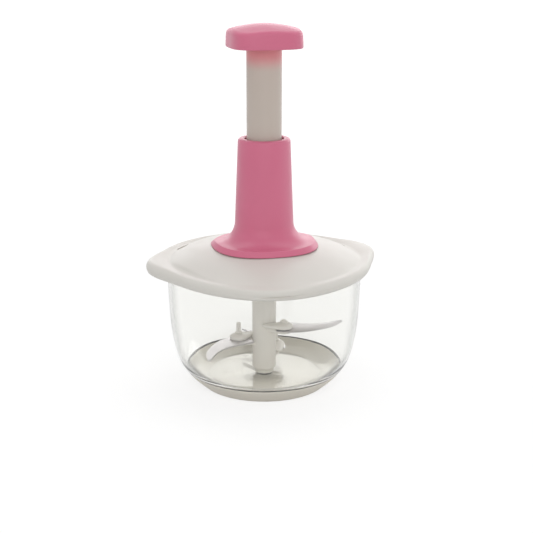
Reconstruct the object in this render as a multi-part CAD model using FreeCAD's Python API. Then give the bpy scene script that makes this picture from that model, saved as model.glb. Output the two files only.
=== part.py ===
import FreeCAD, Part
import math
import os

# Plunger food chopper: a clear bowl in a soft base cup, a push-on lid with a tall neck, and a
# knob on a tube. Pushing the knob drives a nut down a twisted rod, and the rod turns a column
# with three sickle blades. Millimetres, +Z up, origin at the middle of the base on the table.

V = FreeCAD.Vector
UP = V(0, 0, 1)
ORIGIN = V(0, 0, 0)

# Clearances
SLIP = 0.2            # between pieces that are assembled and stay together
RUN = 0.06            # radial, shafts and tubes that turn or slide in a bore
GRIP = 0.04           # radial, pins, bushes and screws that are driven into a hole
SOFT = 0.3            # soft pieces and curved faces beside their neighbours
MESH = 0.3            # around clutch teeth and the twisted strip

# Bowl and base cup; each "IN" is how far a radius lies inside the next one out
BOWL_RIM_R = 73.9
BOWL_WALL = 2.4
BOWL_HIGH_IN = 0.5    # outer side of the bowl, all four measured from the rim
BOWL_HIGH_Z = 76.0
BOWL_MID_IN = 1.5
BOWL_MID_Z = 54.0
BOWL_KNEE_IN = 3.9
BOWL_KNEE_Z = 34.0
BOWL_LOW_IN = 7.5     # where the round corner turns into the side
BOWL_LOW_Z = 21.0
CUP_TOP_IN = 12.5
CUP_TOP_Z = 12.4
BASE_IN = 12.4        # from the cup's top edge to its flat underside
CUP_WALL = 1.6
CUP_FLOOR = 3.0
SEAT_IN = 5.0         # from the underside's edge to the flat floor where the bowl stands
SEAT_BEND_IN = 6.2    # halfway up the round corner of that seat, from its top
SEAT_BEND_H = 3.4
BOSS_R = 11.0         # raised centre of the bowl floor
BOSS_H = 3.4
SPINDLE_R = 3.0
SPINDLE_TOP_Z = 49.0
SPINDLE_SINK = 1.4    # bowl floor left under the end of the spindle

# Blade unit
COLUMN_R = 9.2
COLUMN_GAP = 1.0      # under the lid
COLUMN_ROUND = 1.0
BUSH_WALL = 2.0
BUSH_FLANGE_R = 7.4
BUSH_FLANGE_H = 0.9
SOCKET_DEPTH = 13.0
HEX_AF = 10.6         # across the flats of the drive stub
HEX_PLAY = 0.4        # the socket is this much wider across its flats
BLADE_T = 1.2
BLADE_TIP_IN = 12.7   # from the bowl's rim to the blades' tips
BLADE_LEVELS = {"upper": 45.0, "middle": 32.0, "lower": 19.0}         # underside of each blade
BLADE_AZIMUTHS = {"upper": -14.0, "middle": -149.0, "lower": 89.0}
PIN_RISES = {"upper": 0.8, "middle": 7.5, "lower": 7.5}               # above the pin's collar
PIN_X, PIN_Y = 15.0, -13.0                                            # of a blade at azimuth 0
PIN_R = 1.7
PIN_COLLAR_R = 2.8
PIN_COLLAR_H = 1.0
ARM_T = 2.6
ARM_ROOT_R = 6.5
ARM_LOBE_R = 5.6
CLAMP_T = 2.0
CLAMP_LOBE_R = 7.0
CLAMP_TAIL_R = 2.2
CLAMP_TAIL_X, CLAMP_TAIL_Y = 0.5, -12.0
CLAMP_DOME_H = 2.6

# Lid
LID_WALL = 2.5
SKIRT_GAP = 4.2       # around the bowl, between the lobes
SKIRT_H = 8.0         # below the foot of the dome
LOBES = {             # angle of a lobe's middle: its rise, and degrees from there to 1/e of the rise
    7.0: (9.3, 16.5),
    84.0: (3.7, 25.0),
    177.0: (9.2, 16.5),
    261.0: (6.4, 31.0),
}
FLANGE_RISE = 1.6     # above the foot of the dome
FLANGE_ROUND = 3.2
FLANGE_SLOPE_IN = 1.6 # the flange falls from here inwards to the foot of the dome
DOME_FOOT_IN = 0.5    # inside the bowl's rim
DOME_FOOT_Z = 98.2
DOME_H = 10.0
DOME_FLAT_IN = 2.3    # the neck's foot overhangs the dome's flat top by this
DOME_CROWN = 1.3      # how far the dome's side stands above a straight cone
TOWER_WALL = 2.4
TOWER_H = 7.8
LID_BOSS_R = 3.4
LINER_DEPTH = 8.5     # below the bowl's rim
LINER_GAP = 0.8       # between the liner and the bowl's inner wall
LINER_FLOOR = 2.4
LINER_WALL = 4.4
LINER_SCREW_IN = 23.4 # from the foot of the dome
HUB_WALL = 3.0
SEAL_LIFT = 1.6       # above the liner's underside
SEAL_H = 2.8
SEAL_DEPTH = 2.2

# Neck and the guide inside it
NECK_WALL = 2.6
NECK_ROUND = 1.2
NECK_TAPER = 0.0405   # gain of radius per mm downwards
NECK_LIP = 3.6
NECK_HOLE_GAP = 1.6   # around the tube
NECK_BOSS_R = 3.4
NECK_BOSS_GAP = 0.7   # around the guide's flange
FOOT_HALF = 40.3
FOOT_EDGE = 1.0       # height of the foot's upright edge
FOOT_BAND = 4.2       # height of the foot to where the flare would end
FOOT_STEP = 4.8       # from the foot's edge to where the flare would end
FOOT_LEDGE = 2.0      # from there to the foot's inner edge
FOOT_POWER = 2.35     # superellipse exponent of the foot's plan, where 2 is a circle
FLARE_STEPS = (9, 18, 27, 36, 45, 54, 63, 72, 81, 90)     # degrees round the flare's bend, one lofted section each
RIM_STEPS = (0, 30, 60, 90)     # degrees round the rim's edge, likewise
GUIDE_WALL = 1.7
GUIDE_COLLAR = 7.5
GUIDE_FLANGE_W = 3.7
GUIDE_FLANGE_H = 2.0
KEY_WIDTH = 5.0
KEYS = 2
KEY_RUNOUT = 3.2      # left under the tube's keys when the knob is down

# Plunger
KNOB_TOP_Z = 272.6
KNOB_H = 17.0
KNOB_GAP = 5.9        # left under the knob when it is down
KNOB_HALF = 27.2
KNOB_POWER = 2.7
KNOB_CROWN = 4.2      # rise of the top's middle above the middle of its edge
KNOB_ROUND = 2.6
KNOB_WALL = 2.4
TUBE_R = 13.0
TUBE_WALL = 1.7
TUBE_FLANGE_W = 2.0
TUBE_FLANGE_H = 4.6
INSERT_LIFT = 0.8     # the knob's underside plate lies this far inside its skirt
INSERT_T = 2.4
INSERT_HUB_H = 7.0    # from the plate's lower face to where the tube stops
INSERT_HUB_WALL = 3.0
POST_R = 2.4
POST_GAP = 2.56       # between a post and the hub
POSTS = 4
SLEEVE_WALL = 1.5
SLEEVE_END = 5.0
NUT_WALL = 1.86       # beside the widest part of the nut's slot
NUT_GAP = 2.8         # left under the nut when the knob is down
NUT_FLANGE_H = 2.0
NUT_H = 9.0

# Drive
STRIP_W = 7.0
STRIP_T = 2.8
LEAD = 40.0           # plunger travel for one turn of the blades
SPIN_SIGN = -1        # the blades turn clockwise, seen from above, as the knob goes down
ROD_COLLAR_R = 8.0
ROD_COLLAR_H = 2.2
SPIGOT_R = 3.2
BEARING_WALL = 2.2
DOG_R = 11.0
DOG_BORE_R = 6.0      # the teeth reach inwards to here
DOG_H = 2.4
TOOTH_H = 1.8
TOOTH_W = 4.0
TEETH = 8
COUPLER_JOURNAL_R = 7.0
COUPLER_BUSH_WALL = 2.4
SPRING_WIRE_R = 0.6
SPRING_GAP = 0.4      # inside and outside the spring
SPRING_TURNS = 24
SEAT_WASHER_H = 0.8

# Screws
SCREW_R = 1.5
SCREW_L = 9.0
SHORT_SCREW_L = 4.4
HEAD_R = 2.8
HEAD_H = 1.8
RECESS_W = 0.8
RECESS_L = 3.2
RECESS_DEPTH = 1.0

# Bowl, base cup and lid, from the sizes above
CUP_TOP_R = BOWL_RIM_R - CUP_TOP_IN
BASE_R = CUP_TOP_R - BASE_IN
SEAT_R = BASE_R - SEAT_IN
SEAT_TOP_R = CUP_TOP_R - CUP_WALL
BOWL_BOTTOM_Z = CUP_FLOOR + SOFT
BOWL_FLOOR_Z = BOWL_BOTTOM_Z + BOWL_WALL
BOWL_RIM_Z = DOME_FOOT_Z - LID_WALL - SLIP
BOSS_TOP_Z = BOWL_FLOOR_Z + BOSS_H
LID_R = BOWL_RIM_R + SKIRT_GAP + LID_WALL
LID_BOTTOM_Z = DOME_FOOT_Z - SKIRT_H
FLANGE_TOP_Z = DOME_FOOT_Z + FLANGE_RISE
FLANGE_SLOPE_R = LID_R - FLANGE_SLOPE_IN
DOME_FOOT_R = BOWL_RIM_R - DOME_FOOT_IN
DOME_FLAT_R = FOOT_HALF - DOME_FLAT_IN
DOME_TOP_Z = DOME_FOOT_Z + DOME_H
CAVITY_TOP_Z = DOME_TOP_Z - LID_WALL
TOWER_TOP_Z = DOME_TOP_Z + TOWER_H
LINER_Z = BOWL_RIM_Z - LINER_DEPTH
LINER_SCREW_PCR = DOME_FOOT_R - LINER_SCREW_IN
SEAL_Z = LINER_Z + SEAL_LIFT

# Blade unit
BUSH_R = SPINDLE_R + RUN + BUSH_WALL
BUSH_Z = BOSS_TOP_Z + SLIP
COLUMN_Z = BUSH_Z + BUSH_FLANGE_H + SLIP
COLUMN_TOP_Z = LINER_Z - COLUMN_GAP
SOCKET_Z = COLUMN_TOP_Z - SOCKET_DEPTH
BLADE_TIP_X = BOWL_RIM_R - BLADE_TIP_IN

# Heights of the neck and the plunger: the stroke takes half of what the fixed pieces leave
FOOT_Z = DOME_TOP_Z + SLIP
FLARE_Z = FOOT_Z + FOOT_BAND
NECK_STACK = GUIDE_FLANGE_H + KEY_RUNOUT + TUBE_FLANGE_H + GUIDE_COLLAR + NECK_LIP + 2 * SLIP
KNOB_BOTTOM_Z = KNOB_TOP_Z - KNOB_H
STROKE = (KNOB_BOTTOM_Z - KNOB_GAP - FOOT_Z - NECK_STACK) / 2
NECK_TOP_Z = FOOT_Z + NECK_STACK + STROKE
GUIDE_TOP_Z = NECK_TOP_Z - NECK_LIP - SLIP
TUBE_STOP_Z = GUIDE_TOP_Z - GUIDE_COLLAR
TUBE_FLANGE_Z = TUBE_STOP_Z - SLIP - TUBE_FLANGE_H
INSERT_Z = KNOB_BOTTOM_Z + INSERT_LIFT
INSERT_ROOF_Z = INSERT_Z + INSERT_HUB_H
INSERT_TOP_Z = INSERT_ROOF_Z + INSERT_T
STRIP_Z = TOWER_TOP_Z + SLIP
STRIP_TOP_Z = INSERT_ROOF_Z - SLEEVE_END - STROKE - 2 * SLIP
NUT_Z = STRIP_Z + STROKE + NUT_GAP

# Radii outwards from the tube
GUIDE_BORE_R = TUBE_R + TUBE_FLANGE_W
GUIDE_R = GUIDE_BORE_R + GUIDE_WALL
GUIDE_FLANGE_R = GUIDE_R + GUIDE_FLANGE_W
NECK_TOP_R = GUIDE_R + SLIP + NECK_WALL
NECK_HOLE_R = TUBE_R + NECK_HOLE_GAP
NECK_SCREW_PCR = GUIDE_FLANGE_R + NECK_BOSS_GAP + NECK_BOSS_R
FLARE_R = FOOT_HALF - FOOT_STEP - NECK_TOP_R - NECK_TAPER * (NECK_TOP_Z - FLARE_Z)
HUB_R = TUBE_R + GRIP + INSERT_HUB_WALL
POST_PCR = HUB_R + POST_GAP + POST_R

# Radii inwards from the tube: spring, tower, bearing and journal
TUBE_BORE_R = TUBE_R - TUBE_WALL
SPRING_R = TUBE_BORE_R - SPRING_GAP - SPRING_WIRE_R
TOWER_R = SPRING_R - SPRING_WIRE_R - SPRING_GAP
BEARING_R = TOWER_R - TOWER_WALL - GRIP
JOURNAL_R = BEARING_R - BEARING_WALL - RUN

# Radii outwards from the twisted strip: nut and drive sleeve
NUT_R = STRIP_W / 2 + MESH + NUT_WALL
SLEEVE_R = NUT_R + GRIP + SLEEVE_WALL

# Clutch, downwards from the lid's cavity
COUPLER_BUSH_R = COUPLER_JOURNAL_R + RUN + COUPLER_BUSH_WALL
ROD_COLLAR_Z = CAVITY_TOP_Z - SLIP - ROD_COLLAR_H
DOG_Z = ROD_COLLAR_Z - DOG_H
COUPLER_TOP_Z = DOG_Z - MESH - TOOTH_H
COUPLER_FLANGE_Z = COUPLER_TOP_Z - DOG_H


def cylinder(radius, z0, z1, x=0.0, y=0.0):
    return Part.makeCylinder(radius, z1 - z0, V(x, y, z0), UP)


def ring(outer, inner, z0, z1):
    return cylinder(outer, z0, z1).cut(cylinder(inner, z0 - 1, z1 + 1))


def line(a, b):
    return Part.LineSegment(V(a[0], 0, a[1]), V(b[0], 0, b[1])).toShape()


def path(points):
    """Straight edges through (radius, height) points."""
    return [line(a, b) for a, b in zip(points, points[1:])]


def curve(points):
    """One smooth edge through (radius, height) points."""
    spline = Part.BSplineCurve()
    spline.interpolate([V(r, 0, z) for r, z in points])
    return spline.toShape()


def turned(edges):
    """The solid that a closed outline of (radius, height) edges sweeps about the Z axis."""
    face = Part.Face(Part.Wire(Part.__sortEdges__(edges)))
    return face.revolve(ORIGIN, UP, 360)


def around(shape, count, start=0.0):
    """Copies of a shape at equal angles about the Z axis."""
    copies = []
    for index in range(count):
        copy = shape.copy()
        copy.rotate(ORIGIN, UP, start + 360.0 * index / count)
        copies.append(copy)
    return copies


def prism(wire, height):
    return Part.Face(wire).extrude(V(0, 0, height))


def polar(radius, angle, z):
    return V(radius * math.cos(math.radians(angle)), radius * math.sin(math.radians(angle)), z)


def closed_curve(radius_at, z, steps):
    """A smooth closed wire at height z, from a radius for each angle in degrees."""
    spline = Part.BSplineCurve()
    angles = [360.0 * index / steps for index in range(steps)]
    spline.interpolate(Points=[polar(radius_at(a), a, z) for a in angles], PeriodicFlag=True)
    return Part.Wire(spline.toShape())


def rounded_square(half, power, z):
    """A superellipse whose flat sides face X and Y."""
    def radius_at(angle):
        c = abs(math.cos(math.radians(angle)))
        s = abs(math.sin(math.radians(angle)))
        return half / (c ** power + s ** power) ** (1.0 / power)
    return closed_curve(radius_at, z, 32)


def lid_outline(inset, z):
    """The lid's plan: a circle with two finger lobes at its sides and broad swells between."""
    def radius_at(angle):
        radius = LID_R - inset
        for middle, (rise, spread) in LOBES.items():
            away = (angle - middle + 180.0) % 360.0 - 180.0
            radius += rise * math.exp(-(away / spread) ** 2)
        return radius
    return closed_curve(radius_at, z, 96)


def hexagon(across_flats, z0, z1):
    corner = across_flats / math.sqrt(3)
    return prism(Part.makePolygon([polar(corner, 60.0 * k, z0) for k in range(7)]), z1 - z0)


def twisted_bar(width, thickness, z0, z1):
    """A flat bar twisted about Z with the drive's lead. Equal heights have equal angles."""
    steps = max(2, int(math.ceil(18 * (z1 - z0) / LEAD)))
    sections = []
    for index in range(steps + 1):
        z = z0 + (z1 - z0) * index / steps
        w, t = width / 2, thickness / 2
        wire = Part.makePolygon([V(-w, -t, z), V(w, -t, z), V(w, t, z), V(-w, t, z), V(-w, -t, z)])
        wire.rotate(ORIGIN, UP, SPIN_SIGN * 360.0 * z / LEAD)
        sections.append(wire)
    return Part.makeLoft(sections, True, True)


def link(x0, y0, r0, x1, y1, r1, z0, z1):
    """A flat link: two round ends joined by their outer tangents."""
    distance = math.hypot(x1 - x0, y1 - y0)
    heading = math.degrees(math.atan2(y1 - y0, x1 - x0))
    lean = math.degrees(math.acos((r0 - r1) / distance))
    corners = []
    for x, y, r, side in ((x0, y0, r0, 1), (x1, y1, r1, 1), (x1, y1, r1, -1), (x0, y0, r0, -1)):
        corners.append(V(x, y, 0) + polar(r, heading + side * lean, z0))
    web = prism(Part.makePolygon(corners + corners[:1]), z1 - z0)
    return web.fuse(cylinder(r0, z0, z1, x0, y0)).fuse(cylinder(r1, z0, z1, x1, y1)).removeSplitter()


def screw(length):
    """A pan-head screw along Z with a cross recess; the head's bearing face is at z = 0."""
    shank = cylinder(SCREW_R, 0, length)
    head = cylinder(HEAD_R, -HEAD_H, 0)
    half_w, half_l = RECESS_W / 2, RECESS_L / 2
    recess_z = -HEAD_H - 1
    across = Part.makeBox(RECESS_W, RECESS_L, RECESS_DEPTH + 1, V(-half_w, -half_l, recess_z))
    along = Part.makeBox(RECESS_L, RECESS_W, RECESS_DEPTH + 1, V(-half_l, -half_w, recess_z))
    return shank.fuse(head).cut(across).cut(along)


def screw_circle(length, count, pitch_r, seat_z, start):
    one = screw(length)
    one.translate(V(pitch_r, 0, seat_z))
    return Part.makeCompound(around(one, count, start))


# Bowl group

def side_points(offset):
    """The bowl's side above its round corner, moved inwards by offset."""
    side = ((BOWL_LOW_IN, BOWL_LOW_Z), (BOWL_KNEE_IN, BOWL_KNEE_Z), (BOWL_MID_IN, BOWL_MID_Z),
            (BOWL_HIGH_IN, BOWL_HIGH_Z), (0, BOWL_RIM_Z))
    return [(BOWL_RIM_R - inset - offset, z) for inset, z in side]


def side_curve():
    """Outer side of the bowl and base cup, from the table to the rim, as one flowing line."""
    return curve([(BASE_R, 0), (CUP_TOP_R, CUP_TOP_Z)] + side_points(0))


def bowl_inner_points():
    return seat_points(SOFT + BOWL_WALL)[:2] + side_points(BOWL_WALL)


def bowl_inner_radius(z):
    """Radius of the bowl's inner wall at a height above its corner."""
    wall = curve(bowl_inner_points())
    level = line((BOSS_R, z), (2 * BOWL_RIM_R, z))
    return wall.distToShape(level)[1][0][0].x


def side_solid(z0, z1):
    edges = [side_curve()] + path([(BOWL_RIM_R, BOWL_RIM_Z), (0, BOWL_RIM_Z), (0, 0), (BASE_R, 0)])
    return turned(edges).common(cylinder(2 * BOWL_RIM_R, z0, z1))


def seat_points(offset):
    """Round corner between the bowl's foot and the cup, moved inwards by offset."""
    lean = offset / math.sqrt(2)
    return [(SEAT_R, CUP_FLOOR + offset),
            (SEAT_TOP_R - SEAT_BEND_IN - lean, CUP_FLOOR + SEAT_BEND_H + lean),
            (SEAT_TOP_R - offset, CUP_TOP_Z)]


def seat_solid(offset, top_z):
    points = seat_points(offset)
    top_r = points[-1][0]
    floor_z = points[0][1]
    edges = [curve(points)] + path([points[-1], (top_r, top_z), (0, top_z), (0, floor_z), points[0]])
    return turned(edges)


def base_cup():
    return side_solid(0, CUP_TOP_Z).cut(seat_solid(0, CUP_TOP_Z + 1))


def bowl():
    outside = side_solid(CUP_TOP_Z + SOFT, BOWL_RIM_Z).fuse(seat_solid(SOFT, CUP_TOP_Z + SOFT))
    inner = bowl_inner_points()
    edges = [curve(inner)] + path([inner[-1], (0, BOWL_RIM_Z), (0, BOWL_FLOOR_Z), inner[0]])
    boss = cylinder(BOSS_R, BOWL_FLOOR_Z - BOWL_WALL / 2, BOSS_TOP_Z)
    pin_hole = cylinder(SPINDLE_R + GRIP, BOWL_BOTTOM_Z + SPINDLE_SINK, BOSS_TOP_Z + 1)
    return outside.cut(turned(edges)).fuse(boss).cut(pin_hole)


def bowl_spindle():
    pin = cylinder(SPINDLE_R, BOWL_BOTTOM_Z + SPINDLE_SINK, SPINDLE_TOP_Z)
    return pin.makeChamfer(SPINDLE_R / 4, [pin.Edges[0]])


def spindle_bush():
    tube = ring(BUSH_R, SPINDLE_R + RUN, BUSH_Z, SPINDLE_TOP_Z)
    return tube.fuse(ring(BUSH_FLANGE_R, SPINDLE_R + RUN, BUSH_Z, BUSH_Z + BUSH_FLANGE_H))


# Blade unit

def blade_column():
    column = cylinder(COLUMN_R, COLUMN_Z, COLUMN_TOP_Z)
    bottom = [edge for edge in column.Edges if abs(edge.CenterOfMass.z - COLUMN_Z) < SLIP]
    column = column.makeFillet(COLUMN_ROUND, bottom)
    for name in BLADE_LEVELS:
        level = BLADE_LEVELS[name]
        arm = link(0, 0, ARM_ROOT_R, PIN_X, PIN_Y, ARM_LOBE_R, level - ARM_T, level)
        arm = arm.cut(cylinder(PIN_R + GRIP, level - ARM_T - 1, level + 1, PIN_X, PIN_Y))
        slot = cylinder(COLUMN_R + 1, level, level + BLADE_T).cut(cylinder(COLUMN_R, level - 1, level + 2))
        arm = arm.cut(slot)
        arm.rotate(ORIGIN, UP, BLADE_AZIMUTHS[name])
        column = column.fuse(arm)
    bore = cylinder(BUSH_R + RUN, COLUMN_Z - 1, SPINDLE_TOP_Z + 1)
    socket = hexagon(HEX_AF + HEX_PLAY, SOCKET_Z, COLUMN_TOP_Z + 1)
    return column.cut(bore).cut(socket)


# Outline of a blade at azimuth 0, drawn to a tip at x = 61.2
BLADE_EDGE = ((9.0, -19.4), (25.0, -21.6), (40.0, -16.3), (54.0, -6.8), (61.2, 3.6))
BLADE_BACK = ((60.0, 5.4), (49.0, -0.9), (35.0, -4.0), (22.0, -1.4), (11.5, 1.0))


def stretched(points):
    """The drawn outline with the part beyond the pin stretched to the blades' reach."""
    stretch = (BLADE_TIP_X - PIN_X) / (BLADE_EDGE[-1][0] - PIN_X)
    return [(PIN_X + (x - PIN_X) * stretch if x > PIN_X else x, y) for x, y in points]


def flat_curve(points, z):
    spline = Part.BSplineCurve()
    spline.interpolate([V(x, y, z) for x, y in points])
    return spline.toShape()


def blade(name):
    """A sickle of flat steel; its root is notched around the column."""
    level = BLADE_LEVELS[name]
    edge, back = stretched(BLADE_EDGE), stretched(BLADE_BACK)
    tip = Part.LineSegment(V(*edge[-1], level), V(*back[0], level)).toShape()
    root = Part.LineSegment(V(*back[-1], level), V(*edge[0], level)).toShape()
    shape = prism(Part.Wire([flat_curve(edge, level), tip, flat_curve(back, level), root]), BLADE_T)
    shape = shape.cut(cylinder(COLUMN_R + SLIP, level - 1, level + BLADE_T + 1))
    shape = shape.cut(cylinder(PIN_R + GRIP, level - 1, level + BLADE_T + 1, PIN_X, PIN_Y))
    shape.rotate(ORIGIN, UP, BLADE_AZIMUTHS[name])
    return shape


def blade_clamp(name):
    """The plastic cap that holds a blade down on its arm."""
    low = BLADE_LEVELS[name] + BLADE_T
    high = low + CLAMP_T
    plate = link(CLAMP_TAIL_X, CLAMP_TAIL_Y, CLAMP_TAIL_R, PIN_X, PIN_Y, CLAMP_LOBE_R, low, high)
    dome_r = (CLAMP_LOBE_R ** 2 + CLAMP_DOME_H ** 2) / (2 * CLAMP_DOME_H)
    dome = Part.makeSphere(dome_r, V(PIN_X, PIN_Y, high + CLAMP_DOME_H - dome_r))
    dome = dome.common(cylinder(CLAMP_LOBE_R, low, high + CLAMP_DOME_H, PIN_X, PIN_Y))
    shape = plate.fuse(dome)
    shape = shape.cut(cylinder(COLUMN_R + SLIP, low - 1, high + CLAMP_DOME_H + 1))
    shape = shape.cut(cylinder(PIN_R + GRIP, low - 1, high + CLAMP_DOME_H + 1, PIN_X, PIN_Y))
    shape.rotate(ORIGIN, UP, BLADE_AZIMUTHS[name])
    return shape


def blade_pin(name):
    level = BLADE_LEVELS[name]
    collar_z = level + BLADE_T + CLAMP_T + CLAMP_DOME_H
    collar_top = collar_z + PIN_COLLAR_H
    pin = cylinder(PIN_R, level - ARM_T, collar_top + PIN_RISES[name], PIN_X, PIN_Y)
    pin = pin.fuse(cylinder(PIN_COLLAR_R, collar_z, collar_top, PIN_X, PIN_Y))
    pin.rotate(ORIGIN, UP, BLADE_AZIMUTHS[name])
    return pin


# Lid group

def dome_edge(drop):
    """The dome's side, from its flat top to its foot, lowered by drop."""
    middle_r = (DOME_FLAT_R + DOME_FOOT_R) / 2
    middle_z = (DOME_TOP_Z + DOME_FOOT_Z) / 2 + DOME_CROWN
    return curve([(DOME_FLAT_R, DOME_TOP_Z - drop), (middle_r, middle_z - drop),
                  (DOME_FOOT_R, DOME_FOOT_Z - drop)])


def dome_solid(drop, low_z):
    top_z = DOME_TOP_Z - drop
    foot_z = DOME_FOOT_Z - drop
    edges = [dome_edge(drop)] + path([(DOME_FOOT_R, foot_z), (DOME_FOOT_R, low_z), (0, low_z),
                                      (0, top_z), (DOME_FLAT_R, top_z)])
    return turned(edges)


def lid_shell():
    flange = prism(lid_outline(0, LID_BOTTOM_Z), FLANGE_TOP_Z - LID_BOTTOM_Z)
    top = [edge for edge in flange.Edges if abs(edge.BoundBox.ZMin - FLANGE_TOP_Z) < SLIP]
    flange = flange.makeFillet(FLANGE_ROUND, top)
    flange = flange.cut(prism(lid_outline(LID_WALL, LID_BOTTOM_Z - 1), BOWL_RIM_Z + SLIP - LID_BOTTOM_Z + 1))
    valley = turned(path([(0, DOME_FOOT_Z), (DOME_FOOT_R, DOME_FOOT_Z), (FLANGE_SLOPE_R, FLANGE_TOP_Z + SLIP),
                          (0, FLANGE_TOP_Z + SLIP), (0, DOME_FOOT_Z)]))
    outside = dome_solid(0, BOWL_RIM_Z + SLIP)
    shell = flange.cut(valley).fuse(outside)
    inside = dome_solid(LID_WALL, BOWL_RIM_Z - 1).common(cylinder(liner_radius(), LID_BOTTOM_Z, DOME_TOP_Z))
    shell = shell.cut(inside)
    boss = cylinder(LID_BOSS_R, LINER_Z + LINER_FLOOR + SLIP, DOME_TOP_Z, LINER_SCREW_PCR, 0).common(
        dome_solid(LID_WALL / 2, LINER_Z))
    boss_hole = cylinder(SCREW_R + GRIP, LINER_Z, LINER_Z + SCREW_L + 1, LINER_SCREW_PCR, 0)
    for one, hole in zip(around(boss, 4), around(boss_hole, 4)):
        shell = shell.fuse(one).cut(hole)
    shell = shell.fuse(cylinder(TOWER_R, CAVITY_TOP_Z, TOWER_TOP_Z))
    shell = shell.cut(cylinder(BEARING_R + GRIP, CAVITY_TOP_Z - 1, TOWER_TOP_Z + 1))
    for hole in around(cylinder(SCREW_R + GRIP, CAVITY_TOP_Z - 1, DOME_TOP_Z + 1, NECK_SCREW_PCR, 0), 4, 45):
        shell = shell.cut(hole)
    return shell


def liner_radius():
    return bowl_inner_radius(LINER_Z) - LINER_GAP


def lid_liner():
    """The plug under the lid: a shallow tray with the seal's groove around it."""
    liner_r = liner_radius()
    top_z = BOWL_RIM_Z - LID_WALL
    tray = cylinder(liner_r, LINER_Z, top_z)
    tray = tray.cut(cylinder(liner_r - LINER_WALL, LINER_Z + LINER_FLOOR, top_z + 1))
    tray = tray.cut(ring(liner_r + 1, liner_r - SEAL_DEPTH, SEAL_Z - SLIP, SEAL_Z + SEAL_H + SLIP))
    hub_r = COUPLER_BUSH_R + GRIP + HUB_WALL
    tray = tray.fuse(cylinder(hub_r, LINER_Z, COUPLER_FLANGE_Z - 2 * SLIP))
    tray = tray.cut(cylinder(COUPLER_BUSH_R + GRIP, LINER_Z - 1, COUPLER_FLANGE_Z))
    for hole in around(cylinder(SCREW_R + GRIP, LINER_Z - 1, LINER_Z + LINER_FLOOR + 1, LINER_SCREW_PCR, 0), 4):
        tray = tray.cut(hole)
    return tray


def lid_seal():
    outer = bowl_inner_radius(SEAL_Z) - SOFT
    return ring(outer, liner_radius() - SEAL_DEPTH + SLIP, SEAL_Z, SEAL_Z + SEAL_H)


def coupler_bush():
    return ring(COUPLER_BUSH_R, COUPLER_JOURNAL_R + RUN, LINER_Z, COUPLER_FLANGE_Z - SLIP)


def rod_bearing():
    return ring(BEARING_R, JOURNAL_R + RUN, CAVITY_TOP_Z, TOWER_TOP_Z)


def spring_seat():
    return ring(TUBE_BORE_R, TOWER_R + GRIP, DOME_TOP_Z, DOME_TOP_Z + SEAT_WASHER_H)


def return_spring():
    low = DOME_TOP_Z + SEAT_WASHER_H + SPRING_WIRE_R
    high = INSERT_ROOF_Z - SPRING_WIRE_R
    spine = Part.makeHelix((high - low) / SPRING_TURNS, high - low, SPRING_R)
    corners = []
    for side in range(7):
        turn = math.radians(60 * side)
        corners.append(V(SPRING_R + SPRING_WIRE_R * math.cos(turn), 0, SPRING_WIRE_R * math.sin(turn)))
    section = Part.makePolygon(corners)
    coil = Part.Wire(spine.Edges).makePipeShell([section], True, True)
    coil.translate(V(0, 0, low))
    return coil


# Neck group

def neck_radius(z):
    """Half width of the upper neck and, below it, of the flare down to the foot."""
    cone = NECK_TOP_R + NECK_TAPER * (NECK_TOP_Z - z)
    above = min(z - FLARE_Z, FLARE_R)
    return cone + FLARE_R - math.sqrt(FLARE_R ** 2 - (FLARE_R - above) ** 2)


def neck_outside():
    """The squarish foot, its sloping brim, the flare, the round neck's cone and its rounded rim, lofted in one."""
    heights = [FLARE_Z + FLARE_R * (1 - math.cos(math.radians(a))) for a in FLARE_STEPS]
    sections = [rounded_square(FOOT_HALF, FOOT_POWER, FOOT_Z), rounded_square(FOOT_HALF, FOOT_POWER, FOOT_Z + FOOT_EDGE)]
    for z in heights:
        above = min(z - FLARE_Z, FLARE_R) / FLARE_R
        power = 2 + (FOOT_POWER - 2) * (1 - above)
        sections.append(rounded_square(neck_radius(z), power, z))
    for degrees in RIM_STEPS:
        turn = math.radians(degrees)
        inset = NECK_ROUND * (1 - math.cos(turn))
        sections.append(rounded_square(NECK_TOP_R - inset, 2, NECK_TOP_Z - NECK_ROUND * (1 - math.sin(turn))))
    return Part.makeLoft(sections, True, True)


def neck_inside():
    """The round hollow: under the foot, up inside the flare, and a cone to below the rim."""
    centre_r = neck_radius(FLARE_Z)
    centre_z = FLARE_Z + FLARE_R
    bend = FLARE_R + NECK_WALL
    waist = (centre_r - bend, centre_z)
    middle = (centre_r - bend * math.cos(math.radians(30)), centre_z - bend * math.sin(math.radians(30)))
    mouth_r = FOOT_HALF - FOOT_STEP - FOOT_LEDGE
    mouth = (mouth_r, centre_z - math.sqrt(bend ** 2 - (centre_r - mouth_r) ** 2))
    flare = Part.Arc(V(waist[0], 0, waist[1]), V(middle[0], 0, middle[1]), V(mouth[0], 0, mouth[1])).toShape()
    ceiling = NECK_TOP_Z - NECK_LIP
    top_r = GUIDE_R + SLIP
    edges = path([waist, (top_r, ceiling), (0, ceiling), (0, FOOT_Z - 1), (mouth_r, FOOT_Z - 1), mouth])
    return turned(edges + [flare])


def neck_housing():
    outside = neck_outside()
    shell = outside.cut(neck_inside()).cut(cylinder(NECK_HOLE_R, NECK_TOP_Z - NECK_LIP - 1, NECK_TOP_Z + 1))
    boss = cylinder(NECK_BOSS_R, FOOT_Z, FLARE_Z + FLARE_R, NECK_SCREW_PCR, 0)
    hole = cylinder(SCREW_R + GRIP, FOOT_Z - 1, CAVITY_TOP_Z + SCREW_L + 1, NECK_SCREW_PCR, 0)
    for one, bore in zip(around(boss, 4, 45), around(hole, 4, 45)):
        shell = shell.fuse(one.common(outside)).cut(bore)
    return shell


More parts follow.
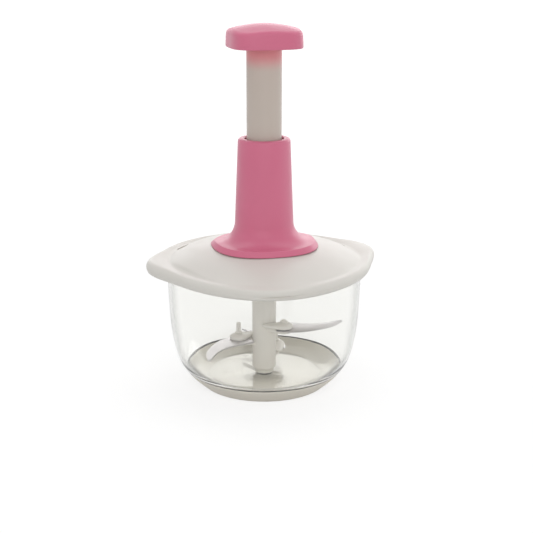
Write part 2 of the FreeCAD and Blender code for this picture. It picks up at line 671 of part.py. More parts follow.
def guide_sleeve():
    """Runs the tube: a collar under the neck's rim, and a slotted bore for the tube's keys."""
    sleeve = ring(GUIDE_R, GUIDE_BORE_R, FOOT_Z, GUIDE_TOP_Z)
    sleeve = sleeve.fuse(ring(GUIDE_R, TUBE_R + RUN, TUBE_STOP_Z, GUIDE_TOP_Z))
    sleeve = sleeve.fuse(ring(GUIDE_FLANGE_R, GUIDE_BORE_R, FOOT_Z, FOOT_Z + GUIDE_FLANGE_H))
    slot_z = FOOT_Z + GUIDE_FLANGE_H
    slot = Part.makeBox(GUIDE_R, KEY_WIDTH, TUBE_STOP_Z - slot_z, V(TUBE_R, -KEY_WIDTH / 2, slot_z))
    for one in around(slot, KEYS):
        sleeve = sleeve.cut(one)
    return sleeve


# Plunger group

def push_tube():
    tube = cylinder(TUBE_R, TUBE_FLANGE_Z, INSERT_ROOF_Z)
    flange_top = TUBE_FLANGE_Z + TUBE_FLANGE_H
    tube = tube.fuse(cylinder(GUIDE_BORE_R - RUN, TUBE_FLANGE_Z, flange_top))
    key_y = KEY_WIDTH / 2 - SLIP
    key = Part.makeBox(GUIDE_R - SLIP, 2 * key_y, TUBE_FLANGE_H, V(0, -key_y, TUBE_FLANGE_Z))
    for one in around(key, KEYS):
        tube = tube.fuse(one)
    tube = tube.cut(cylinder(TUBE_BORE_R, TUBE_FLANGE_Z - 1, INSERT_ROOF_Z + 1))
    for hole in tube_screw_holes():
        tube = tube.cut(hole)
    return tube


def tube_screw_z():
    return INSERT_Z + INSERT_T + HEAD_R


def tube_screw_holes():
    hole = Part.makeCylinder(SCREW_R + GRIP, HUB_R, V(TUBE_BORE_R - 1, 0, tube_screw_z()), V(1, 0, 0))
    return around(hole, 2, 90)


def tube_screws():
    one = screw(SHORT_SCREW_L)
    one.rotate(ORIGIN, V(0, 1, 0), -90)
    one.translate(V(HUB_R, 0, tube_screw_z()))
    return Part.makeCompound(around(one, 2, 90))


def knob_crown(drop):
    radius = (KNOB_HALF ** 2 + KNOB_CROWN ** 2) / (2 * KNOB_CROWN)
    return Part.makeSphere(radius - drop, V(0, 0, KNOB_TOP_Z - radius))


def knob_block(inset, low_z):
    """The knob's rounded square under its crowned top, moved inwards by inset."""
    half = KNOB_HALF - inset
    block = prism(rounded_square(half, KNOB_POWER, low_z), KNOB_TOP_Z - low_z)
    return block.common(knob_crown(inset))


def knob_cap():
    outside = knob_block(0, KNOB_BOTTOM_Z)
    top_face = max(outside.Faces, key=lambda face: face.CenterOfMass.z)
    outside = outside.makeFillet(KNOB_ROUND, top_face.OuterWire.Edges)
    shell = outside.cut(knob_block(KNOB_WALL, KNOB_BOTTOM_Z - 1))
    post = cylinder(POST_R, INSERT_Z + INSERT_T, KNOB_TOP_Z, POST_PCR, 0)
    post = post.common(knob_block(KNOB_WALL / 2, KNOB_BOTTOM_Z))
    for one in around(post, POSTS, 45):
        shell = shell.fuse(one)
    return shell


def knob_insert():
    """The knob's underside, with the hub that holds the tube and the drive sleeve."""
    plate = prism(rounded_square(KNOB_HALF - KNOB_WALL - SLIP, KNOB_POWER, INSERT_Z), INSERT_T)
    insert = plate.fuse(cylinder(HUB_R, INSERT_Z, INSERT_TOP_Z))
    insert = insert.cut(cylinder(TUBE_R + GRIP, INSERT_Z - 1, INSERT_ROOF_Z))
    insert = insert.cut(cylinder(SCREW_R + GRIP, INSERT_ROOF_Z - 1, INSERT_TOP_Z + 1))
    for hole in tube_screw_holes():
        insert = insert.cut(hole)
    return insert


def knob_screw():
    one = screw(INSERT_T + SLEEVE_END - 1)
    one.rotate(ORIGIN, V(1, 0, 0), 180)
    one.translate(V(0, 0, INSERT_TOP_Z))
    return one


def drive_sleeve():
    sleeve = cylinder(SLEEVE_R, NUT_Z + NUT_FLANGE_H, INSERT_ROOF_Z)
    sleeve = sleeve.cut(cylinder(SLEEVE_R - SLEEVE_WALL, NUT_Z, INSERT_ROOF_Z - SLEEVE_END))
    return sleeve.cut(cylinder(SCREW_R + GRIP, INSERT_ROOF_Z - SLEEVE_END - 1, INSERT_ROOF_Z + 1))


def drive_nut():
    body_z = NUT_Z + NUT_FLANGE_H
    nut = cylinder(SLEEVE_R, NUT_Z, body_z)
    nut = nut.fuse(cylinder(NUT_R, body_z, body_z + NUT_H))
    return nut.cut(twisted_bar(STRIP_W + 2 * MESH, STRIP_T + 2 * MESH, NUT_Z - 1, body_z + NUT_H + 1))


# Drive group

def twist_rod():
    rod = cylinder(SPIGOT_R, DOG_Z, ROD_COLLAR_Z)
    rod = rod.fuse(cylinder(ROD_COLLAR_R, ROD_COLLAR_Z, CAVITY_TOP_Z - SLIP))
    rod = rod.fuse(cylinder(JOURNAL_R, CAVITY_TOP_Z - SLIP, STRIP_Z))
    rod = rod.cut(cylinder(SCREW_R + GRIP, DOG_Z - 1, DOG_Z + SCREW_L + 1))
    return rod.fuse(twisted_bar(STRIP_W, STRIP_T, STRIP_Z, STRIP_TOP_Z))


def clutch_tooth(base_z, up, gap):
    """A saw tooth on a clutch face; its upright side is the one that drives."""
    tip_z = base_z + (TOOTH_H if up else -TOOTH_H)
    side = SPIN_SIGN if up else -SPIN_SIGN
    start = side * gap
    points = [V(DOG_BORE_R, start, base_z), V(DOG_BORE_R, start + side * TOOTH_W, base_z),
              V(DOG_BORE_R, start, tip_z)]
    wire = Part.makePolygon(points + points[:1])
    return Part.Face(wire).extrude(V(DOG_R - DOG_BORE_R, 0, 0)).common(
        ring(DOG_R, DOG_BORE_R, base_z - 2 * TOOTH_H, base_z + 2 * TOOTH_H))


def clutch_dog():
    dog = ring(DOG_R, SPIGOT_R + GRIP, DOG_Z, ROD_COLLAR_Z)
    for tooth in around(clutch_tooth(DOG_Z, False, MESH), TEETH):
        dog = dog.fuse(tooth)
    return dog


def rod_screw():
    one = screw(SCREW_L)
    one.translate(V(0, 0, DOG_Z))
    return one


def drive_coupler():
    """The clutch's lower half, with the hexagonal stub that turns the column."""
    coupler = hexagon(HEX_AF, SOCKET_Z + 1, LINER_Z)
    coupler = coupler.fuse(cylinder(COUPLER_JOURNAL_R, LINER_Z, COUPLER_FLANGE_Z))
    coupler = coupler.fuse(cylinder(DOG_R, COUPLER_FLANGE_Z, COUPLER_TOP_Z))
    for tooth in around(clutch_tooth(COUPLER_TOP_Z, True, 0), TEETH):
        coupler = coupler.fuse(tooth)
    return coupler.cut(cylinder(HEAD_R + 2 * MESH, COUPLER_TOP_Z - MESH, COUPLER_TOP_Z + 1))


def liner_screws():
    return screw_circle(SCREW_L, 4, LINER_SCREW_PCR, LINER_Z, 0)


def neck_screws():
    return screw_circle(SCREW_L, 4, NECK_SCREW_PCR, CAVITY_TOP_Z, 45)


def pieces():
    made = {
        "base_cup": base_cup(), "bowl": bowl(), "bowl_spindle": bowl_spindle(),
        "spindle_bush": spindle_bush(), "blade_column": blade_column(),
        "lid_shell": lid_shell(), "lid_liner": lid_liner(), "lid_seal": lid_seal(),
        "liner_screws": liner_screws(), "coupler_bush": coupler_bush(), "rod_bearing": rod_bearing(),
        "spring_seat": spring_seat(), "return_spring": return_spring(),
        "neck_housing": neck_housing(), "neck_screws": neck_screws(), "guide_sleeve": guide_sleeve(),
        "push_tube": push_tube(), "tube_screws": tube_screws(), "knob_cap": knob_cap(),
        "knob_insert": knob_insert(), "knob_screw": knob_screw(),
        "drive_sleeve": drive_sleeve(), "drive_nut": drive_nut(), "twist_rod": twist_rod(),
        "clutch_dog": clutch_dog(), "rod_screw": rod_screw(), "drive_coupler": drive_coupler(),
    }
    for name in BLADE_LEVELS:
        made["blade_" + name] = blade(name)
        made["blade_clamp_" + name] = blade_clamp(name)
        made["blade_pin_" + name] = blade_pin(name)
    return made


os.makedirs("parts", exist_ok=True)
for node, shape in pieces().items():
    shape.exportStep("parts/" + node + ".step")
    print(node, shape.isValid(), len(shape.Solids), round(shape.Volume, 1))
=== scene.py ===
import math

import bmesh
import bpy
import numpy as np
from mathutils import Euler, Matrix, Vector


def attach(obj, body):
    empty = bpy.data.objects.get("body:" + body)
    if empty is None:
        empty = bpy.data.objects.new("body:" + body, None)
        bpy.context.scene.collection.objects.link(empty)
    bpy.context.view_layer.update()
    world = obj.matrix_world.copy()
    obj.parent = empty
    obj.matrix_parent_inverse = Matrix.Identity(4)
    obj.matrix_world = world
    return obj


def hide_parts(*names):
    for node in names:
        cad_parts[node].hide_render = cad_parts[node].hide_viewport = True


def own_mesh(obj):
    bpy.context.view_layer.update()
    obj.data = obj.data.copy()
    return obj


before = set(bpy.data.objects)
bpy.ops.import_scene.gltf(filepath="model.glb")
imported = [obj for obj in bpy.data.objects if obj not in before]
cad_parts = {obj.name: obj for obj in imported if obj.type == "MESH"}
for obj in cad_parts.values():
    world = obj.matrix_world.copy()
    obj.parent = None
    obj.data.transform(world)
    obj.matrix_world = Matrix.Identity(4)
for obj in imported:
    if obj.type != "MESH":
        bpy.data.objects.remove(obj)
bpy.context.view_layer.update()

# Table top. A wide sheet of matt white laminate that the chopper stands on, so pale that it runs
# into the white surroundings and keeps only the soft shadow under the base. From below it is open
# to view, so that the chopper's underside can be looked at.
MM = 0.001
WHITE = (1, 1, 1, 1)
TABLE_HALF, TABLE_LOW = 6000, -0.05
TABLE_BOUNCE = 0.8  # what the laminate sends on to the chopper
TABLE_TONE = 0.30  # and what it sends back where it is looked at
TABLE_LIFT = (0.75, 1.0)  # added there: round the chopper, and far out
LIFT_FROM, LIFT_TO = 350, 1300


def add(tree, kind, sockets={}, **settings):
    """A new node with its settings, and its inputs set, or linked to a socket or to a node."""
    made = tree.nodes.new(kind if "Node" in kind else "ShaderNode" + kind)
    for key, value in settings.items():
        setattr(made, key, value)
    for key, value in sockets.items():
        if isinstance(value, bpy.types.Node):
            value = value.outputs[0]
        if isinstance(value, bpy.types.NodeSocket):
            tree.links.new(value, made.inputs[key])
        else:
            made.inputs[key].default_value = value
    return made


def seen_directly(tree):
    """1 for rays from the lens, and for what gloss and clear plastic show of the surroundings."""
    path = add(tree, "LightPath").outputs
    mirror = add(tree, "Math", {
        0: path["Is Camera Ray"], 1: path["Is Glossy Ray"]}, operation="MAXIMUM")
    return add(tree, "Math", {0: mirror, 1: path["Is Transmission Ray"]}, operation="MAXIMUM")


def in_scene(name, data):
    """A new object that stands in the scene."""
    made = bpy.data.objects.new(name, data)
    bpy.context.scene.collection.objects.link(made)
    return made


def new_material(name):
    """A new material, its empty node tree, and each point's place on the object for patterns."""
    material = bpy.data.materials.new(name)
    material.use_nodes = True
    tree = material.node_tree
    tree.nodes.clear()
    return material, tree, add(tree, "TexCoord").outputs["Object"]


table_mesh = bpy.data.meshes.new("table_top")
corners = [Vector((x * TABLE_HALF, y * TABLE_HALF, TABLE_LOW)) * MM
           for x, y in ((-1, -1), (1, -1), (1, 1), (-1, 1))]
table_mesh.from_pydata(corners, [], [(0, 1, 2, 3)])
table_top = in_scene("table_top", table_mesh)
laminate, tree, spot = new_material("white_laminate")
plain = add(tree, "BsdfDiffuse", {"Color": (TABLE_BOUNCE,) * 3 + (1,)})
lit = add(tree, "BsdfDiffuse", {"Color": (TABLE_TONE,) * 3 + (1,)})
away = add(tree, "VectorMath", {0: spot}, operation="LENGTH").outputs["Value"]
fade = add(tree, "MapRange", {
    0: away, 1: LIFT_FROM * MM, 2: LIFT_TO * MM, 3: TABLE_LIFT[0], 4: TABLE_LIFT[1]})
lift = add(tree, "Emission", {"Color": WHITE, "Strength": fade})
lifted = add(tree, "AddShader", {0: lit, 1: lift})
above = add(tree, "MixShader", {0: seen_directly(tree), 1: plain, 2: lifted})
below = add(tree, "BsdfTransparent")
from_below = add(tree, "NewGeometry").outputs["Backfacing"]
either = add(tree, "MixShader", {0: from_below, 1: above, 2: below})
add(tree, "OutputMaterial", {"Surface": either})
table_mesh.materials.append(laminate)

# Camera and soft boxes. A long lens stands a little above the lid, and white cloth all round
# gives an even light, stronger from both flanks and from above than from the lens.
LENS_MM = 75.5
LENS_SHIFT = 0.0044  # sideways, as a share of the frame's width
LENS_AZIMUTH = 14.0  # degrees, towards -X from the front
LENS_AWAY = 818.7
LENS_HEIGHT = 331.3
LENS_DOWN = 16.39  # degrees
AIM = (0, 0, 130)
CLOTH_GLOW = 0.40  # of the white cloth on what stands inside
BOXES = (  # azimuth from the lens, away, height, width, tall, watts, in gloss
    (-98, 900, 300, 500, 1100, 1.2, False),
    (98, 900, 300, 500, 1100, 2.2, False),
    (164, 1100, 420, 2000, 500, 4.2, True),
    (180, 250, 1050, 900, 800, 3.0, True),
    (0, 1000, 650, 1000, 900, 5.0, False),
)


def around_lens(azimuth, away, height):
    """A point on the set, its azimuth counted anticlockwise from the lens as seen from above."""
    turn = math.radians(azimuth - 90 - LENS_AZIMUTH)
    return Vector((math.cos(turn) * away, math.sin(turn) * away, height)) * MM


lens = bpy.data.cameras.new("lens")
lens.lens = LENS_MM
lens.shift_x = LENS_SHIFT
camera = in_scene("lens", lens)
camera.location = around_lens(0, LENS_AWAY, LENS_HEIGHT)
camera.rotation_euler = Euler((math.radians(90 - LENS_DOWN), 0, math.radians(-LENS_AZIMUTH)))
bpy.context.scene.camera = camera

for azimuth, away, height, width, tall, watts, in_gloss in BOXES:
    soft_box = bpy.data.lights.new("soft_box", "AREA")
    soft_box.shape = "RECTANGLE"
    soft_box.size = width * MM
    soft_box.size_y = tall * MM
    soft_box.energy = watts
    holder = in_scene("soft_box", soft_box)
    holder.visible_glossy = holder.visible_transmission = in_gloss
    holder.location = around_lens(azimuth, away, height)
    sight = Vector(AIM) * MM - holder.location
    holder.rotation_euler = sight.to_track_quat("-Z", "Y").to_euler()

world = bpy.data.worlds.new("white_cloth")
world.use_nodes = True
world.node_tree.nodes.clear()
tree = world.node_tree
glow = add(tree, "Background", {"Color": WHITE, "Strength": CLOTH_GLOW})
shown = add(tree, "Background", {"Color": WHITE, "Strength": 1.0})
mixed = add(tree, "MixShader", {0: seen_directly(tree), 1: glow, 2: shown})
add(tree, "OutputWorld", {"Surface": mixed})
bpy.context.scene.world = world
bpy.context.scene.view_settings.view_transform = "Standard"

# Base cup. A thick soft ring of warm white thermoplastic elastomer, injection moulded, in which
# the bowl stands; the rubbery skin is matt and has a fine even grain.
CUP_CURVE = ((49.0, 0.0), (61.4, 12.4), (66.4, 21.0), (70.0, 34.0), (72.4, 54.0), (73.4, 76.0),
             (73.9, 95.5))  # one line runs up the cup and on up the bowl
CUP_TOP, CUP_RIM_R = 12.4, 59.8
CUP_FLOOR = 3.0
SEAT_R = 44.0  # of the flat floor under the bowl
SEAT_CURVE = ((SEAT_R, CUP_FLOOR), (53.6, 6.4), (CUP_RIM_R, CUP_TOP))
AROUND = 192  # faces round a turned piece
SHARP = 38  # degrees past which an edge stays crisp
DRIFT = (0.3, 0.7)  # the part of a noise's range that gloss drifts over
SINK_DEPTH = 0.12  # of the shallow waves in moulded walls
PLASTIC_IOR = 1.5


def flowing(points, steps):
    """Points along a smooth line through the given ones, in the manner of a drawing spline."""
    knots = np.array(points, float)
    along = np.concatenate([[0], np.cumsum(np.linalg.norm(np.diff(knots, axis=0), axis=1))])
    gap = np.diff(along)
    slope = np.diff(knots, axis=0) / gap[:, None]
    count = len(knots)
    system, wanted = np.eye(count), np.zeros_like(knots)
    for i in range(1, count - 1):
        system[i, i - 1:i + 2] = gap[i - 1], 2 * (gap[i - 1] + gap[i]), gap[i]
        wanted[i] = 6 * (slope[i] - slope[i - 1])
    bend = np.linalg.solve(system, wanted)
    line = []
    for i in range(count - 1):
        for step in range(steps):
            b = step / steps
            a = 1 - b
            line.append(a * knots[i] + b * knots[i + 1]
                        + ((a ** 3 - a) * bend[i] + (b ** 3 - b) * bend[i + 1]) * gap[i] ** 2 / 6)
    return [tuple(p) for p in line] + [tuple(knots[-1])]


def rounded(corners, steps=5):
    """A (radius, height) outline whose corners with a third number are rounded to that radius."""
    line = []
    for i, corner in enumerate(corners):
        here = Vector(corner[:2])
        if len(corner) < 3:
            line.append(tuple(here))
            continue
        before = Vector(corners[i - 1][:2]) - here
        after = Vector(corners[i + 1][:2]) - here
        half = before.angle(after) / 2
        reach = min(corner[2] / math.tan(half), 0.49 * before.length, 0.49 * after.length)
        start, end = here + before.normalized() * reach, here + after.normalized() * reach
        radius = reach * math.tan(half)
        inward = (before.normalized() + after.normalized()).normalized()
        centre = here + inward * radius / math.sin(half)
        first, last = start - centre, end - centre
        sweep = first.angle_signed(last)
        for step in range(steps + 1):
            spoke = first.copy()
            spoke.rotate(Matrix.Rotation(-sweep * step / steps, 2))
            line.append(tuple(centre + spoke))
    return line


def skin(name, rings, closed=False):
    """A piece whose surface runs from ring to ring of points in mm; one point alone is a pole."""
    corners, faces, starts = [], [], []
    for ring in rings:
        starts.append((len(corners), len(ring)))
        corners += [Vector(point) * MM for point in ring]
    for (a, a_count), (b, b_count) in zip(starts, starts[1:] + (starts[:1] if closed else [])):
        count = max(a_count, b_count)
        for i in range(count):
            j = (i + 1) % count
            face = (a + i % a_count, a + j % a_count, b + j % b_count, b + i % b_count)
            faces.append(tuple(dict.fromkeys(face)))
    mesh = bpy.data.meshes.new(name)
    mesh.from_pydata(corners, [], faces)
    return made_piece(name, mesh)


def made_piece(name, mesh):
    """Merges doubles, turns the faces outwards, shades smooth and makes the mesh a piece."""
    work = bmesh.new()
    work.from_mesh(mesh)
    bmesh.ops.remove_doubles(work, verts=work.verts, dist=1e-7)
    bmesh.ops.recalc_face_normals(work, faces=work.faces)
    work.to_mesh(mesh)
    work.free()
    mesh.shade_smooth()
    mesh.set_sharp_from_angle(angle=math.radians(SHARP))
    return in_scene(name, mesh)


def circle(radius, z, at=(0, 0), count=AROUND):
    """A ring of points on a circle, or its centre alone where the radius is nothing."""
    if radius < 1e-6:
        return [(at[0], at[1], z)]
    turns = [2 * math.pi * i / count for i in range(count)]
    return [(at[0] + radius * math.cos(t), at[1] + radius * math.sin(t), z) for t in turns]


def lathe(name, corners, at=(0, 0), closed=False, count=AROUND, steps=5):
    """A turned piece from its (radius, height) outline in mm, which is rounded first."""
    return skin(name, [circle(r, z, at, count) for r, z in rounded(corners, steps)], closed)


def fit(piece, body, slot, material, *nodes):
    """Gives a piece its material, the body that it rides on and the CAD nodes it stands for."""
    piece.data.materials.clear()
    piece.data.materials.append(material)
    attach(piece, body)
    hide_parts(*nodes)


def creased(piece, radius):
    """Keeps the edges of a turned piece that lie at a radius crisp."""
    points = [corner.co.xy.length for corner in piece.data.vertices]
    for edge in piece.data.edges:
        if all(abs(points[i] - radius * MM) < 1e-5 for i in edge.vertices):
            edge.use_edge_sharp = True


def tint(code):
    """A colour given as an sRGB hex value, as Blender's linear numbers."""
    levels = [int(code[i:i + 2], 16) / 255 for i in (1, 3, 5)]
    return tuple(v / 12.92 if v <= 0.04045 else ((v + 0.055) / 1.055) ** 2.4 for v in levels) + (1,)


def per(size_mm):
    """The scale that makes a pattern repeat about every so many millimetres."""
    return 1000 / size_mm


def moulded(name, colour, deep, roughness, spread, grain_mm, grain_depth_mm, flow_mm, painted_reflection=None,
            **uniform):
    """Moulded plastic: colour and gloss that drift along the flow, shallow waves, and a grain.

    A painted reflection of a neighbour's light, if given, is that neighbour's colour and the
    heights where it starts and is full.
    """
    material, tree, where = new_material(name)
    flow = add(tree, "TexNoise", {
        "Vector": where, "Scale": per(flow_mm), "Detail": 3.0, "Roughness": 0.45,
        "Distortion": 0.6})
    body_colour = add(tree, "Mix", {
        0: flow, 6: tint(colour), 7: tint(deep)}, data_type="RGBA").outputs[2]
    # Painted reflected light: a neighbour's colour laid over the body colour above a height.
    if painted_reflection:
        reflected_colour, start, full = painted_reflection
        height = add(tree, "SeparateXYZ", {0: where}).outputs["Z"]
        share = add(tree, "MapRange", {
            0: height, 1: start * MM, 2: full * MM}, interpolation_type="SMOOTHSTEP")
        body_colour = add(tree, "Mix", {
            0: share, 6: body_colour, 7: tint(reflected_colour)}, data_type="RGBA").outputs[2]
    rub = add(tree, "TexNoise", {"Vector": where, "Scale": per(flow_mm / 5), "Detail": 4.0})
    gloss = add(tree, "MapRange", {
        0: rub, 1: DRIFT[0], 2: DRIFT[1], 3: roughness - spread, 4: roughness + spread})
    grain = add(tree, "TexNoise", {
        "Vector": where, "Scale": per(grain_mm), "Detail": 2.0, "Roughness": 0.6})
    sink = add(tree, "TexNoise", {"Vector": where, "Scale": per(flow_mm / 2), "Detail": 1.0})
    waves = add(tree, "Bump", {"Strength": 1.0, "Distance": SINK_DEPTH * MM, "Height": sink})
    bumps = add(tree, "Bump", {
        "Strength": 1.0, "Distance": grain_depth_mm * MM, "Height": grain, "Normal": waves})
    plastic = add(tree, "BsdfPrincipled", {
        "Base Color": body_colour, "Normal": bumps, "Roughness": gloss, "IOR": PLASTIC_IOR})
    for key, value in uniform.items():
        plastic.inputs[key.replace("_", " ")].default_value = value
    add(tree, "OutputMaterial", {"Surface": plastic})
    return material


# Elastomer: a dull, slightly waxy warm white. The grain is drawn at 0.8 mm, coarser than the real
# 0.1 mm etch of the mould, so that it shows.
elastomer = moulded("moulded_elastomer", "#e7e2d8", "#dfd9cd", 0.58, 0.05, 0.8, 0.02, 45)
cup_side = [p for p in flowing(CUP_CURVE[:4], 12) if p[1] < CUP_TOP - 1]
cup_outline = ([(0, 0.5), (40, 0.5, 0.4), (41, 0, 0.4), (49.0, 0, 1.0)] + cup_side[1:]
               + [(61.25, CUP_TOP, 0.5), (CUP_RIM_R, CUP_TOP, 0.3)]
               + flowing(SEAT_CURVE, 8)[::-1][1:] + [(0, CUP_FLOOR)])
cup = lathe("cup_of_base", cup_outline)
creased(cup, SEAT_R)
fit(cup, "base", "soft_base", elastomer, "base_cup")

# Bowl. A deep clear bowl with a 2.4 mm wall, injection moulded in styrene acrylonitrile and
# polished in the mould. It stands in the base cup, with a raised boss for the spindle.
WALL = 2.4
BOWL_RIM, BOWL_R = 95.5, 73.9
BOWL_SIDE = CUP_CURVE[2:]
BOWL_FOOT_R = 59.5
FLOOR_LOW, FLOOR_TOP = 3.3, 5.7
BOSS_R, BOSS_FOOT_R, BOSS_TOP = 4.4, 5.2, 9.1
PIN_HOLE_R, PIN_HOLE_LOW = 3.04, 4.7
EDGE_ON = (0.62, 0.97)  # how far edge on the colour starts to deepen, and is full


def clear(name, colour, edge, ior, roughness, scratch_mm, scratch_depth_mm):
    """Clear moulded plastic that the lamps shine through, deeper in colour where seen edge on."""
    material, tree, where = new_material(name)
    wash = add(tree, "Mapping", {"Vector": where, "Scale": (1, 1, 0.25)})
    haze = add(tree, "TexNoise", {"Vector": wash, "Scale": per(scratch_mm), "Detail": 5.0})
    gloss = add(tree, "MapRange", {0: haze, 1: 0.45, 2: 0.8, 3: roughness, 4: roughness * 2.5})
    bumps = add(tree, "Bump", {"Strength": 1.0, "Distance": scratch_depth_mm * MM, "Height": haze})
    facing = add(tree, "LayerWeight", {"Blend": 0.5}).outputs["Facing"]
    slant = add(tree, "MapRange", {0: facing, 1: EDGE_ON[0], 2: EDGE_ON[1]})
    depth = add(tree, "Mix", {
        0: slant, 6: tint(colour), 7: tint(edge)}, data_type="RGBA").outputs[2]
    body = add(tree, "BsdfPrincipled", {
        "Base Color": depth, "Roughness": gloss, "Normal": bumps, "IOR": ior,
        "Transmission Weight": 1.0})
    through = add(tree, "BsdfTransparent", {"Color": tint("#fdfdfc")})
    path = add(tree, "LightPath").outputs
    lamp = add(tree, "Math", {
        0: path["Is Shadow Ray"], 1: path["Is Diffuse Ray"]}, operation="MAXIMUM")
    both = add(tree, "MixShader", {0: lamp, 1: body, 2: through})
    add(tree, "OutputMaterial", {"Surface": both})
    return material


# Styrene acrylonitrile: water clear with the faintest grey, index 1.57, and fine marks from
# washing, drawn at 30 mm and very shallow.
clear_san = clear("clear_moulded_san", "#f9f9f7", "#94968f", 1.57, 0.012, 30, 0.02)
bowl_outer = [p for p in flowing(CUP_CURVE, 16) if CUP_TOP + 0.8 < p[1] < BOWL_RIM - 1]
bowl_corner = flowing([(SEAT_R, FLOOR_TOP), (51.69, 8.31)]
                      + [(r - WALL, z) for r, z in BOWL_SIDE], 14)
bowl_foot = flowing([(SEAT_R, FLOOR_LOW), (53.39, 6.61), (BOWL_FOOT_R, CUP_TOP)], 8)
bowl_outline = ([(0, PIN_HOLE_LOW), (PIN_HOLE_R, PIN_HOLE_LOW), (PIN_HOLE_R, BOSS_TOP, 0.3),
                 (BOSS_R, BOSS_TOP, 0.8), (BOSS_FOOT_R, FLOOR_TOP, 1.8)]
                + [p for p in bowl_corner if p[1] < BOWL_RIM - 1]
                + [(BOWL_R - WALL, BOWL_RIM, 0.9), (BOWL_R, BOWL_RIM, 0.9)] + bowl_outer[::-1]
                + [(61.6, CUP_TOP + 0.3, 0.3), (BOWL_FOOT_R, CUP_TOP + 0.3)]
                + bowl_foot[::-1] + [(0, FLOOR_LOW)])
bowl = lathe("clear_bowl", bowl_outline)
creased(bowl, SEAT_R)
fit(bowl, "base", "clear_bowl", clear_san, "bowl")

# Spindle and bush. A turned stainless pin is pressed into the bowl's boss, and the blade column
# turns and lifts on it with a flanged bush of natural acetal, whose short skirt shields the boss.
SPINDLE_R, SPINDLE_TOP = 3.0, 49.0
BUSH_BORE, BUSH_R = 3.06, 5.06
BUSH_LOW, BUSH_FLANGE = 9.3, 0.9
SKIRT_INNER_R, SKIRT_R, SKIRT_LOW = 6.0, 7.4, 7.0
SMALL_AROUND = 96  # faces round a bush, a washer or the sleeve
DULL, DULL_MM = 0.86, 14  # how dark steel's duller patches are, and how wide
LINE_DEPTH = 0.01


def steel(name, colour, roughness, grind_mm, stretch):
    """Steel with fine parallel lines from rolling, turning or grinding."""
    material, tree, where = new_material(name)
    lay = add(tree, "Mapping", {"Vector": where, "Scale": stretch})
    lines = add(tree, "TexNoise", {
        "Vector": lay, "Scale": per(grind_mm), "Detail": 6.0, "Roughness": 0.65})
    patch = add(tree, "TexNoise", {"Vector": where, "Scale": per(DULL_MM), "Detail": 3.0})
    gloss = add(tree, "MapRange", {
        0: lines, 1: DRIFT[0], 2: DRIFT[1], 3: roughness - 0.07, 4: roughness + 0.09})
    dark = tuple(DULL * v for v in tint(colour)[:3]) + (1,)
    body_colour = add(tree, "Mix", {
        0: patch, 6: tint(colour), 7: dark}, data_type="RGBA").outputs[2]
    bumps = add(tree, "Bump", {"Strength": 0.7, "Distance": LINE_DEPTH * MM, "Height": lines})
    metal = add(tree, "BsdfPrincipled", {
        "Base Color": body_colour, "Metallic": 1.0, "Roughness": gloss, "Normal": bumps})
    add(tree, "OutputMaterial", {"Surface": metal})
    return material


# Stainless bar, turned: rings run round it, drawn at 0.9 mm where the real feed is 0.1 mm.
# Acetal: off-white and waxy, as it comes from the mould, with a faint sheen of wear.
turned_steel = steel("turned_stainless_steel", "#c4c4c6", 0.26, 0.9, (0.1, 0.1, 1))
acetal = moulded("moulded_natural_acetal", "#e9e7e0", "#dedbd2", 0.34, 0.06, 0.5, 0.004, 20)
spindle_outline = [
    (0, PIN_HOLE_LOW), (SPINDLE_R, PIN_HOLE_LOW, 0.2), (SPINDLE_R, SPINDLE_TOP, 0.75),
    (0, SPINDLE_TOP)]
fit(lathe("pin_of_bowl", spindle_outline, count=64), "base", "steel", turned_steel, "bowl_spindle")
flange_top = BUSH_LOW + BUSH_FLANGE
bush_outline = [
    (BUSH_BORE, BUSH_LOW), (SKIRT_INNER_R, BUSH_LOW), (SKIRT_INNER_R, SKIRT_LOW, 0.2),
    (SKIRT_R, SKIRT_LOW, 0.4), (SKIRT_R, flange_top, 0.25), (BUSH_R, flange_top, 0.2),
    (BUSH_R, SPINDLE_TOP, 0.4), (BUSH_BORE, SPINDLE_TOP)]
fit(lathe("bush_of_column", bush_outline, closed=True, count=SMALL_AROUND), "blade_carrier",
    "bearing_plastic", acetal, "spindle_bush")

# Blade column. A hollow post of bright white polypropylene that turns on the bush; three short
# arms stand out of it at different heights, and the lid's hexagonal stub drops into its top.
COLUMN_R, COLUMN_BORE = 9.2, 5.12
COLUMN_FOOT, COLUMN_TOP = 10.4, 86.0
BORE_TOP = 50.0
LEVELS = {"upper": 45.0, "middle": 32.0, "lower": 19.0}  # where each blade lies
AZIMUTHS = {"upper": -14.0, "middle": -149.0, "lower": 89.0}  # and where it points, in degrees
PIN_AT = (15.0, -13.0)
ARM_T, ARM_ROOT_R, ARM_END_R = 2.6, 6.5, 5.6
END_STEPS = 24  # faces round the end of an arm or a cap
HEX_AF, HEX_LOW = 11.0, 73.0  # the socket on top


def swung(points, degrees):
    """Points turned round the chopper's upright axis."""
    turn = Matrix.Rotation(math.radians(degrees), 3, "Z")
    return [turn @ Vector(point) for point in points]


def polar_ring(radius_at, height, count=AROUND):
    """A ring of points from its radius at each angle in degrees and its height, which may vary."""
    ring = []
    for i in range(count):
        angle = 360 * i / count
        r, turn = radius_at(angle), math.radians(angle)
        z = height(r, angle) if callable(height) else height
        ring.append((r * math.cos(turn), r * math.sin(turn), z))
    return ring


def hexagon_radius(angle):
    """How far the socket's side lies from the axis."""
    return HEX_AF / 2 / math.cos(math.radians((angle + 30) % 60 - 30))


